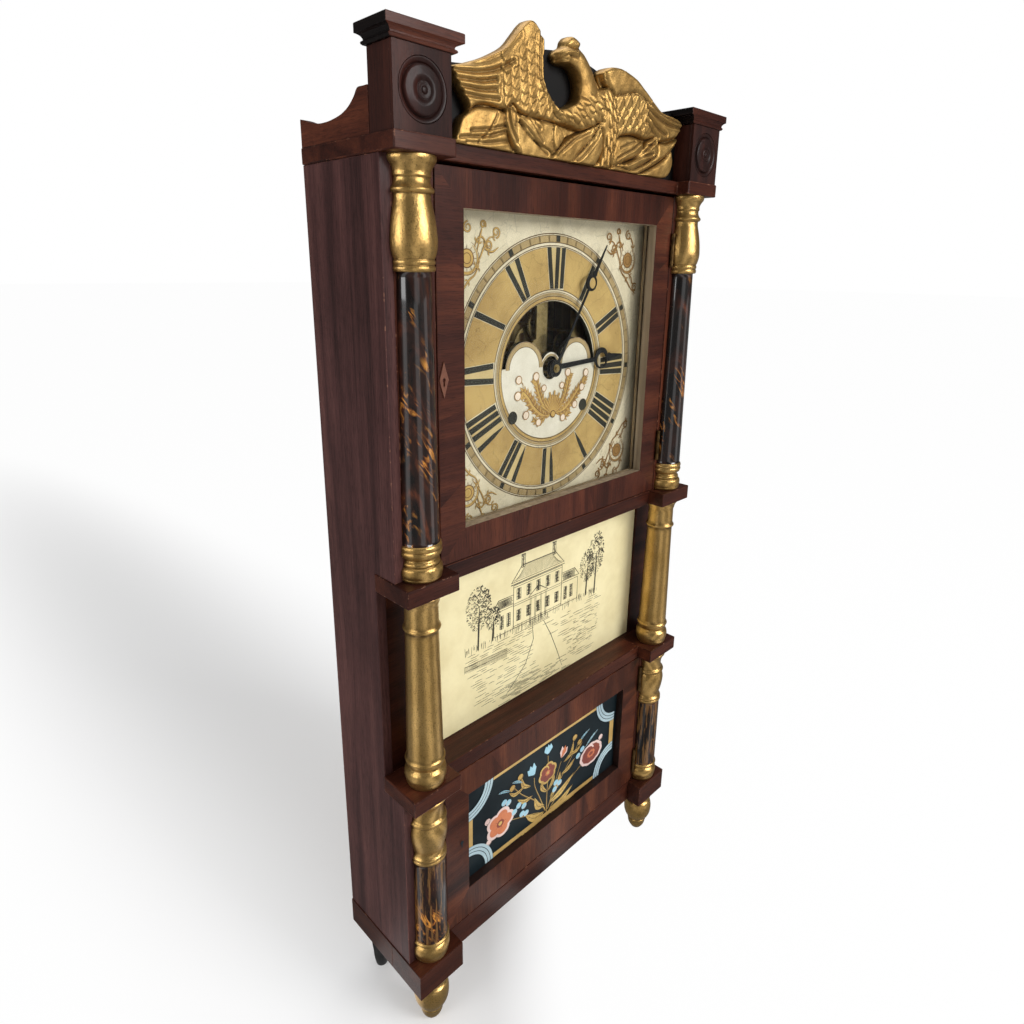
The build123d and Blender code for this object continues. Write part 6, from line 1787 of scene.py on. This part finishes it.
spray = {
    "depth": 9.92,
    "half": 131.2,
    "z": (133.6, 248.0),
    "cove": (27.0, 40.0),
    "coveLines": (2.2, 6.5, 10.8),
    "bars": (8.6, 6.0),
    # The places that follow count up from the bottom of the base
    "lift": 62.0,
    # Each: place, size, petals, their paints, squash and turn
    "flowers": (
        (-80, 113, 21, 5, (6, 4, 5), 0.88, 0.3), (85, 117, 21, 11, (6, 5, 4), 0.72, 0.0),
        (0, 136, 15, 6, (7, 5, 4), 0.9, 0.26),
    ),
    # Each: place, lean, size and paint
    "tulips": ((-24, 150, -0.5, 15, 3), (25, 146, 0.5, 14, 4), (0, 166, 0.0, 11, 3)),
    # Each: place and paint
    "buds": (
        (-74, 138, 3), (-67, 134, 3), (-57, 114, 3), (-50, 119, 3), (-44, 103, 3), (-37, 100, 3),
        (-41, 113, 3), (14, 103, 3), (23, 108, 3), (16, 112, 3), (-61, 150, 7), (60, 148, 7), (-48, 158, 7),
        (50, 160, 7), (-100, 128, 6), (-98, 98, 6), (66, 134, 3), (58, 128, 3), (104, 132, 6), ),
    "blades": (
        ((-62, 158), (-44, 148)), ((56, 146), (80, 158)), ((-64, 148), (-84, 156)), ((70, 132), (98, 148)),
    ),
    "keyhole": (-146.5, 201.0),
    "paints": [
        "night", "borderGold", "borderBlue", "petalBlue", "petalCoral", "petalWine", "petalBlush", "leafGold",
        "leafShade",
    ],
    # stems from the middle of the bottom to each flower
    "stems": (
        ((0, 70), (-14, 84), (-40, 96), (-64, 106)), ((0, 72), (18, 88), (44, 100), (66, 110)),
        ((-2, 80), (-12, 104), (-22, 128), (-24, 142)), ((2, 80), (12, 104), (20, 126), (25, 138)),
        ((-3, 84), (-22, 108), (-44, 130), (-58, 148)), ((3, 84), (22, 108), (42, 130), (58, 146)),
        ((0, 76), (0, 104), (1, 132), (0, 160)),
    ),
    "leaves": (
        ((4, 78), (24, 76), (50, 88), 11), ((5, 88), (26, 92), (52, 106), 10),
        ((-4, 80), (-22, 82), (-38, 96), 10), ((-4, 90), (-16, 96), (-22, 112), 9),
        ((6, 96), (20, 108), (24, 124), 8), ((-6, 72), (-28, 68), (-48, 74), 9),
        ((6, 72), (30, 66), (56, 72), 9), ((-26, 118), (-40, 118), (-52, 128), 6),
        ((26, 118), (40, 120), (52, 128), 6), ((-30, 134), (-42, 142), (-46, 156), 6),
        ((30, 134), (44, 140), (48, 156), 6), ((40, 140), (54, 138), (66, 144), 5),
        ((-40, 140), (-56, 138), (-66, 146), 5), ((0, 108), (-9, 118), (-10, 130), 6),
        ((1, 108), (10, 118), (11, 130), 6), ),
}


def flower(work, x, z, radius, petals, paints, depth, squash, turn):
    outer, inner, heart = paints
    size = radius * 0.55
    for index in range(petals):
        heading = turn + 2 * math.pi * index / petals
        a, b = x + radius * 0.55 * math.sin(heading), z + radius * 0.55 * squash * math.cos(heading)
        spot(work, a, b, size, depth, outer, squash=squash)
        spot(work, x * 0.12 + a * 0.88, z * 0.12 + b * 0.88, size * 0.74, depth - 0.02, inner, squash=squash)
        rib = np.array([(x, z), (a * 0.8 + x * 0.2, b * 0.8 + z * 0.2)])
        stroke(work, rib, (0.9, 0.3), depth - 0.04, heart)
    spot(work, x, z, radius * 0.28, depth - 0.05, heart, 340, 18, squash)
    spot(work, x, z, radius * 0.14, depth - 0.07, 7, 330, 12, squash)


def leafShape(work, start, middle, end, width, depth, finish=7):
    path = smoothPath([start, middle, end], 8)
    stroke(work, path, (0.8, width * 0.75, width, width * 0.7, 0.3), depth, finish)
    stroke(work, path, (0.9, 0.7, 0.3), depth - 0.03, 8)
    for step in range(3, len(path) - 2, 3):
        way = path[step + 1] - path[step]
        way /= np.hypot(*way)
        side = np.array([-way[1], way[0]])
        for sign in (-1, 1):
            tip = path[step] + side * sign * width * 0.3 + way * 2.2
            stroke(work, np.array([path[step], tip]), (0.5, 0.2), depth - 0.03, 8)


def paintBorder(work):
    depth, half = spray["depth"], spray["half"]
    low, high = spray["z"]
    inner, outer = spray["cove"]
    side, flat = spray["bars"]
    across, bottom, top = half - outer + 2, low + outer - 4, high - outer + 4
    for z, edge in ((high, high - flat), (low, low + flat)):
        painted(work, [(-across, z), (across, z), (across, edge), (-across, edge)], depth, 1)
    for sign in (-1, 1):
        x, edge = sign * half, sign * half - sign * side
        painted(work, [(x, bottom), (edge, bottom), (edge, top), (x, top)], depth, 1)
    for x, z, start in ((-half, high, 90), (half, high, 180), (half, low, 270), (-half, low, 0)):
        for shift in spray["coveLines"]:
            stroke(work, arc(x, z, inner + shift, start, start + 90, 26), (3.5,), depth - 0.03, 2)
        stroke(work, arc(x, z, (inner + outer) / 2, start, start + 90, 26), (outer - inner,), depth - 0.01, 0)


def paintSpray(work):
    depth, lift = spray["depth"], spray["lift"]
    for stem in spray["stems"]:
        stroke(work, smoothPath([(a, b + lift) for a, b in stem], 8), (2.0, 1.3, 0.9), depth - 0.02, 8)
        light = smoothPath([(a + 0.4, b + lift + 0.3) for a, b in stem], 8)
        stroke(work, light, (0.9, 0.6, 0.5), depth - 0.04, 7)
    for *points, width in spray["leaves"]:
        leafShape(work, *[(a, b + lift) for a, b in points], width, depth - 0.06)
    for x, z, size, petals, paints, squash, turn in spray["flowers"]:
        flower(work, x, z + lift, size, petals, paints, depth - 0.12, squash, turn)
        if petals > 10:
            # This one is double, with small blobs round its heart
            spot(work, x, z + lift, 12, depth - 0.2, 5, 345, 26, 0.66)
            for heading in (math.radians(step) for step in range(0, 360, 40)):
                a, b = x + 6 * math.sin(heading), z + lift + 4 * math.cos(heading)
                spot(work, a, b, 1.9, depth - 0.22, 4, 330, 10)
    for x, z, lean, size, finish in spray["tulips"]:
        for spread in (-0.42, 0.42, 0.0):
            heading = lean + spread
            tip = (x + size * math.sin(heading), z + lift + size * math.cos(heading))
            middle = (x + size * 0.5 * math.sin(heading * 1.6), z + lift + size * 0.45 * math.cos(heading))
            petal = smoothPath([(x, z + lift - 2), middle, tip], 6)
            stroke(work, petal, (2, 8.2, 0.6), depth - 0.14, 6 if finish == 4 and spread else finish)
    for x, z, finish in spray["buds"]:
        spot(work, x, z + lift, 4.4, depth - 0.1, finish, 340, 16, 0.92)
        line = arc(x + 0.6, z + lift - 0.4, 2.9, 60, 240, 10)
        stroke(work, line, (0.5, 0.9, 0.4), depth - 0.13, 6 if finish == 3 else 8)
    for (a, b), (c, d) in spray["blades"]:
        middle = ((a + c) / 2, (b + d) / 2 + lift + 1.5)
        leafShape(work, (a, b + lift), middle, (c, d + lift), 3.4, depth - 0.05, 3)


def makeLowerTablet():
    work = newWork()
    paintBorder(work)
    newLayers()
    paintSpray(work)
    # The keyhole is painted: a dark round and slot of painted shade where a hole would show dark
    x, z = spray["keyhole"]
    spot(work, x, z, 2.2, -0.2, 0, 330, 14)
    painted(work, [(x - 0.8, z - 6), (x + 0.8, z - 6), (x + 0.6, z), (x - 0.6, z)], -0.2, 0)
    makePiece("lowerTabletPainting", work, spray["paints"], "lower_door")


makeLowerTablet()
print("lower tablet painted")


# The middle tablet: a small engraved view of a country house, trees and a lake
finishes["cream"] = paint("tabletCream", rgb(236, 224, 178), rgb(222, 208, 160), 0.35, 0.06)
finishes["ink"] = paint("engravedInk", rgb(66, 62, 50), rgb(46, 44, 38), 0.5, 0.2)
engraving = {
    "depth": 32.94,
    "line": 0.8,
    "seed": 21,
    # The drawing's ground stands at base on the tablet; grow is its scale across, above and below that
    "ground": 318.0,
    "base": 396.0,
    "grow": (1.06, 1.32, 1.16),
    "trees": (
        (-88, 318, 54, 17, 330), (-68, 320, 30, 10, 150), (82, 320, 44, 13, 240), (98, 318, 60, 14, 300),
    ),
}


def makeMiddleTablet():
    rng = random.Random(engraving["seed"])
    work = newWork()
    depth, wide = engraving["depth"], engraving["line"]
    wider, taller, deeper = engraving["grow"]

    # The layers start again after 60 lines, so that the ink never stands off the tablet
    def pen(points, width=None, shake=0.15):
        layer["number"] %= 60
        line = []
        for a, b in points:
            rise = b - engraving["ground"]
            rise *= taller if rise > 0 else deeper
            x = a * wider + rng.uniform(-shake, shake)
            line.append((x, engraving["base"] + rise + rng.uniform(-shake, shake)))
        width = 2.2 * width if width else 1.15 * wide
        stroke(work, line, (width * 0.6, width, width * 0.5), depth, 0)

    def box(x0, z0, x1, z1, width=None):
        for line in (((x0, z0), (x1, z0)), ((x0, z1), (x1, z1)), ((x0, z0), (x0, z1)), ((x1, z0), (x1, z1))):
            pen(line, width)

    def hatch(x0, z0, x1, z1, step, slope=0.0):
        z = z0
        while z < z1:
            a, b = x0 + rng.uniform(0, 1.5), x1 - rng.uniform(0, 1.5)
            pen([(a, z), ((a + b) / 2, z + slope * (b - a) / 2), (b, z + slope * (b - a))], wide * 0.7, 0.1)
            z += step

    # House: main block with five bays, two wings, a hipped roof and chimneys
    box(-38, 322, 38, 362, 0.6)
    for z in (324, 343, 345, 360):
        pen([(-38, z), (38, z)])
    for index in range(5):
        x = -30 + index * 15
        for z in (328, 348):
            box(x - 3.2, z, x + 3.2, z + 10)
            hatch(x - 3, z + 0.6, x + 3, z + 10, 0.9)
    pen([(-42, 363), (42, 363)], 0.8)
    pen([(-42, 365), (42, 365)], 0.5)
    pen([(-41, 365), (-26, 378), (26, 378), (41, 365)], 0.6)
    for x in range(-38, 39, 2):
        top = 378 if abs(x) < 26 else 378 - (abs(x) - 26) * 0.85
        pen([(x, 366), (x * 0.8, top)], 0.32)
    for x in (-24, 24):
        box(x - 2.6, 376, x + 2.6, 387, 0.5)
        hatch(x - 2.4, 376, x + 2.4, 387, 1.1)
        pen([(x - 3.4, 387.6), (x + 3.4, 387.6)], 0.7)
    for x in (-12, -4.5, 4.5, 12):
        pen([(x - 0.9, 320), (x - 0.9, 344)])
        pen([(x + 0.9, 320), (x + 0.9, 344)])
    pen([(-15, 345.5), (0, 353), (15, 345.5)], 0.6)
    pen([(-15, 345), (15, 345)], 0.6)
    for step in range(4):
        pen([(-14 - step * 2, 320 - step * 1.5), (14 + step * 2, 320 - step * 1.5)], 0.45)
    for sign in (-1, 1):
        box(min(sign * 38, sign * 66), 322, max(sign * 38, sign * 66), 344, 0.5)
        pen([(sign * 38, 346), (sign * 68, 346)], 0.6)
        pen([(sign * 68, 346), (sign * 60, 354), (sign * 38, 354)], 0.5)
        hatch(min(sign * 39, sign * 62), 347, max(sign * 39, sign * 62), 353.5, 1.1)
        for x in (45, 55):
            box(sign * x - 2.6, 327, sign * x + 2.6, 339)
            hatch(sign * x - 2.4, 327, sign * x + 2.4, 339, 0.9)

    # Trees: trunks, then many small leaf strokes in rounded clumps, darker on their shaded side
    def tree(x, z, height, spread, count):
        for shift in (-0.8, 0, 0.8):
            pen([(x + shift, z), (x + shift * 0.6 + 1, z + height * 0.4), (x + 2, z + height * 0.7)], 0.6)
        for _ in range(count):
            turn, away = rng.uniform(0, 2 * math.pi), math.sqrt(rng.random())
            a = x + spread * away * math.cos(turn)
            b = z + height * 0.68 + height * 0.36 * away * math.sin(turn)
            way = rng.uniform(-0.6, 0.6)
            long = rng.uniform(1.2, 2.6)
            dark = 0.55 if math.cos(turn - 0.6) > 0 else 0.32
            pen([(a, b), (a + long * 0.5, b + long * 0.5 + way), (a + long, b + way)], dark, 0.05)

    for row in engraving["trees"]:
        tree(*row)
    for _ in range(120):
        x = rng.uniform(-106, 110)
        pen([(x, 318 + rng.uniform(-2, 3)), (x + rng.uniform(-1, 1), 322 + rng.uniform(0, 3))], 0.35)

    # Ground, drive, railings and lake
    for row in range(26):
        z = 316 - row * 2.5 - rng.uniform(0, 0.6)
        x = -108 + rng.uniform(0, 10) + row * 0.6
        while x < 108 - row * 0.8:
            long = rng.uniform(5, 20)
            if rng.random() < 0.62 and not (abs(x + long / 2 - row * 1.3) < 9 + row * 0.9):
                pen([(x, z), (x + long / 2, z + rng.uniform(-0.5, 0.5)), (x + long, z)], 0.3)
            x += long + rng.uniform(1, 6)
    pen([(-8, 315), (-6, 300), (-18, 276), (-48, 252)], 0.5)
    pen([(10, 315), (22, 296), (34, 272), (44, 250)], 0.5)
    for index in range(40):
        x = -106 + index * 1.5
        pen([(x, 300 - index * 0.12), (x, 307 - index * 0.05)], 0.35)
    pen([(-106, 306.5), (-46, 304.5)], 0.45)
    pen([(-106, 302), (-46, 299.5)], 0.4)
    for row in range(14):
        z = 262 - row * 1.3
        for _ in range(4):
            x = rng.uniform(-60, 44)
            pen([(x, z), (x + rng.uniform(6, 18), z)], 0.5)
    for _ in range(70):
        x, z = rng.uniform(50, 106), rng.uniform(262, 300)
        pen([(x, z), (x + rng.uniform(2, 6), z + rng.uniform(-0.8, 0.8))], 0.32)
    makePiece("middleTabletEngraving", work, ["ink"])


makeMiddleTablet()
print("middle tablet drawn")

# CAD pieces whose shape stays, and the finish that each takes
dressing = {
    "glass": ["upper_door_glass"],
    "night": ["lower_door_glass"],
    "cream": ["middle_tablet"],
    "acrossWood": ["middle_frame"],
    "ebonised": ["splat_board"],
    "pineUp": ["back_board", "weight_channel_boards"],
    "pineAcross": ["floor_board", "movement_seat", "pulley_left", "pulley_right"],
    "dullBrass": ["upper_door_hinge_leaves", "lower_door_hinge_leaves", "fixed_hinge_leaves"],
    "brass": [
        "movement_front_plate",
        "movement_back_plate", "time_great_wheel", "time_second_wheel", "centre_arbor", "time_third_wheel",
        "escape_wheel", "minute_wheel", "hour_wheel", "strike_great_wheel", "strike_second_wheel",
        "strike_third_wheel", "strike_fly", "pendulum_bob", "time_drum", "strike_drum",
    ],
    "bellMetal": ["bell"],
    "steel": ["verge", "pendulum_rod", "strike_hammer", "lock_bolt"],
    "iron": ["time_weight", "strike_weight", "pulley_brackets"],
    "bone": ["lock_escutcheon"],
}
finishes["bone"] = paint("escutcheonWood", rgb(140, 90, 66), rgb(98, 58, 42), 0.4, 0.4)


def dressNodes():
    for finish, names in dressing.items():
        for name in names:
            piece = bpy.data.objects[name]
            for slot in piece.material_slots:
                slot.material = finishes[finish]


dressNodes()
print("inner pieces finished")

# Floor, lamps and camera
stage = {
    "camera": (-0.5263, -0.4915, 0.7903),
    "azimuth": 44.816,
    "elevation": -16.463,
    "roll": 0.765,
    "lens": 36 * 682.57 / 1024,
    "shift": (0.00152, -0.04186),
    "floorReach": 30.0,
    # The floor's shade is a long oval, and fades out before a line in front of the clock and to its right
    "shade": {"Location": (-0.09, 0.47, 0), "Rotation": (0, 0, 0.045), "Scale": (0.4, 2.65, 1)},
    "shadeFade": (0.02, 1.05, 0.0, 0.97),
    "clearWay": (0.71, -0.7, 0),
    "clearFade": (-0.07, 0.05, 0.0, 0.98),
    # Where the pale screens of the room stand, and where each begins to show
    "screens": (((-0.2, -0.98, 0.05), 0.93), ((-1.0, 0.05, 0.05), 0.93), ((0.0, 0.1, 1.0), 0.6)),
    "below": (((-0.37, -0.93, 0.0), 0.96), ((0.62, -0.79, 0.0), 0.975), ((-1.0, 0.03, 0.0), 0.96)),
    "screenFull": 0.995,
    "roomGloss": 0.1,
    "floorGloss": 0.2,
    "roomLight": 0.5,
    # Each: place, aim, size and power
    "lamps": {
        "keyLamp": ((0.8, -2.3, 1.7), (0, 0, 0.5), 1.2, 52.0),
        "fillLamp": ((-2.2, 0.1, 1.2), (0, 0, 0.5), 1.0, 14.0),
        "topLamp": ((0.2, 0.4, 2.6), (0, 0, 0.5), 1.6, 14.0),
    },
}


def white(tree, kind, strength):
    return node(tree, kind, {"Color": (1, 1, 1, 1), "Strength": strength}).outputs[0]


def facing(tree, way, toward):
    return node(tree, "ShaderNodeVectorMath", {0: way, 1: toward}, operation="DOT_PRODUCT").outputs["Value"]


def screens(tree, way, rows, least):
    room = least
    for toward, start in rows:
        screen = mapped(tree, facing(tree, way, toward), start, stage["screenFull"], kind="SMOOTHSTEP")
        room = sums(tree, "MAXIMUM", screen, room)
    return room


def makeFloor():
    far = stage["floorReach"]
    mesh = bpy.data.meshes.new("floor")
    mesh.from_pydata([(-far, -far, 0), (far, -far, 0), (far, far, 0), (-far, far, 0)], [], [(0, 1, 2, 3)])
    linked("floor", mesh)
    finish, tree, shader = newFinish("paleFloor", Roughness=0.9, Base_Color=(0.86, 0.86, 0.86, 1))
    path = node(tree, "ShaderNodeLightPath").outputs
    flat = node(tree, "ShaderNodeTexCoord").outputs["Object"]
    place = node(tree, "ShaderNodeMapping", {"Vector": flat, **stage["shade"]}, vector_type="TEXTURE")
    place = place.outputs["Vector"]
    away = node(tree, "ShaderNodeVectorMath", {0: place}, operation="LENGTH").outputs["Value"]
    fade = mapped(tree, away, *stage["shadeFade"], "SMOOTHSTEP")
    clear = mapped(tree, facing(tree, flat, stage["clearWay"]), *stage["clearFade"], "SMOOTHSTEP")
    share = sums(tree, "MULTIPLY", path["Is Camera Ray"], sums(tree, "MAXIMUM", fade, clear))
    seen = mixed(tree, share, shader.outputs[0], white(tree, "ShaderNodeEmission", 1.0))
    # In gloss the floor is dim but for what lies below the screens
    way = node(tree, "ShaderNodeVectorMath", {0: flat}, operation="NORMALIZE").outputs["Vector"]
    dim = white(tree, "ShaderNodeEmission", screens(tree, way, stage["below"], stage["floorGloss"]))
    both = mixed(tree, path["Is Glossy Ray"], seen, dim)
    tree.links.new(both, tree.nodes["Material Output"].inputs["Surface"])
    mesh.materials.append(finish)


# White behind the clock, soft light on it, and in gloss the pale screens of the room
def makeRoom():
    world = bpy.data.worlds.new("studio")
    bpy.context.scene.world = world
    world.use_nodes = True
    tree = world.node_tree
    tree.nodes.clear()
    path = node(tree, "ShaderNodeLightPath").outputs
    seen = sums(tree, "MAXIMUM", path["Is Camera Ray"], path["Is Transmission Ray"])
    kind = "ShaderNodeBackground"
    both = mixed(tree, seen, white(tree, kind, stage["roomLight"]), white(tree, kind, 1.0))
    way = node(tree, "ShaderNodeTexCoord").outputs["Generated"]
    shown = white(tree, kind, screens(tree, way, stage["screens"], stage["roomGloss"]))
    node(tree, "ShaderNodeOutputWorld", {"Surface": mixed(tree, path["Is Glossy Ray"], both, shown)})


def makeLamps():
    for name, (place, aim, size, power) in stage["lamps"].items():
        lamp = bpy.data.lights.new(name, "AREA")
        lamp.shape = "SQUARE"
        lamp.size = size
        lamp.energy = power
        holder = linked(name, lamp)
        holder.location = place
        holder.rotation_euler = (Vector(aim) - Vector(place)).to_track_quat("-Z", "Y").to_euler()


def makeCamera():
    lens = bpy.data.cameras.new("camera")
    lens.sensor_width = 36
    lens.lens = stage["lens"]
    lens.shift_x, lens.shift_y = stage["shift"]
    lens.clip_start = 0.02
    camera = linked("camera", lens)
    azimuth, elevation = math.radians(stage["azimuth"]), math.radians(stage["elevation"])
    flat = math.cos(elevation)
    forward = Vector((math.sin(azimuth) * flat, math.cos(azimuth) * flat, math.sin(elevation)))
    turn = forward.to_track_quat("-Z", "Y").to_matrix().to_4x4()
    roll = Matrix.Rotation(math.radians(stage["roll"]), 4, "Z")
    camera.matrix_world = Matrix.Translation(stage["camera"]) @ turn @ roll
    bpy.context.scene.camera = camera


makeFloor()
makeRoom()
makeLamps()
makeCamera()
bpy.context.scene.view_settings.view_transform = "Standard"
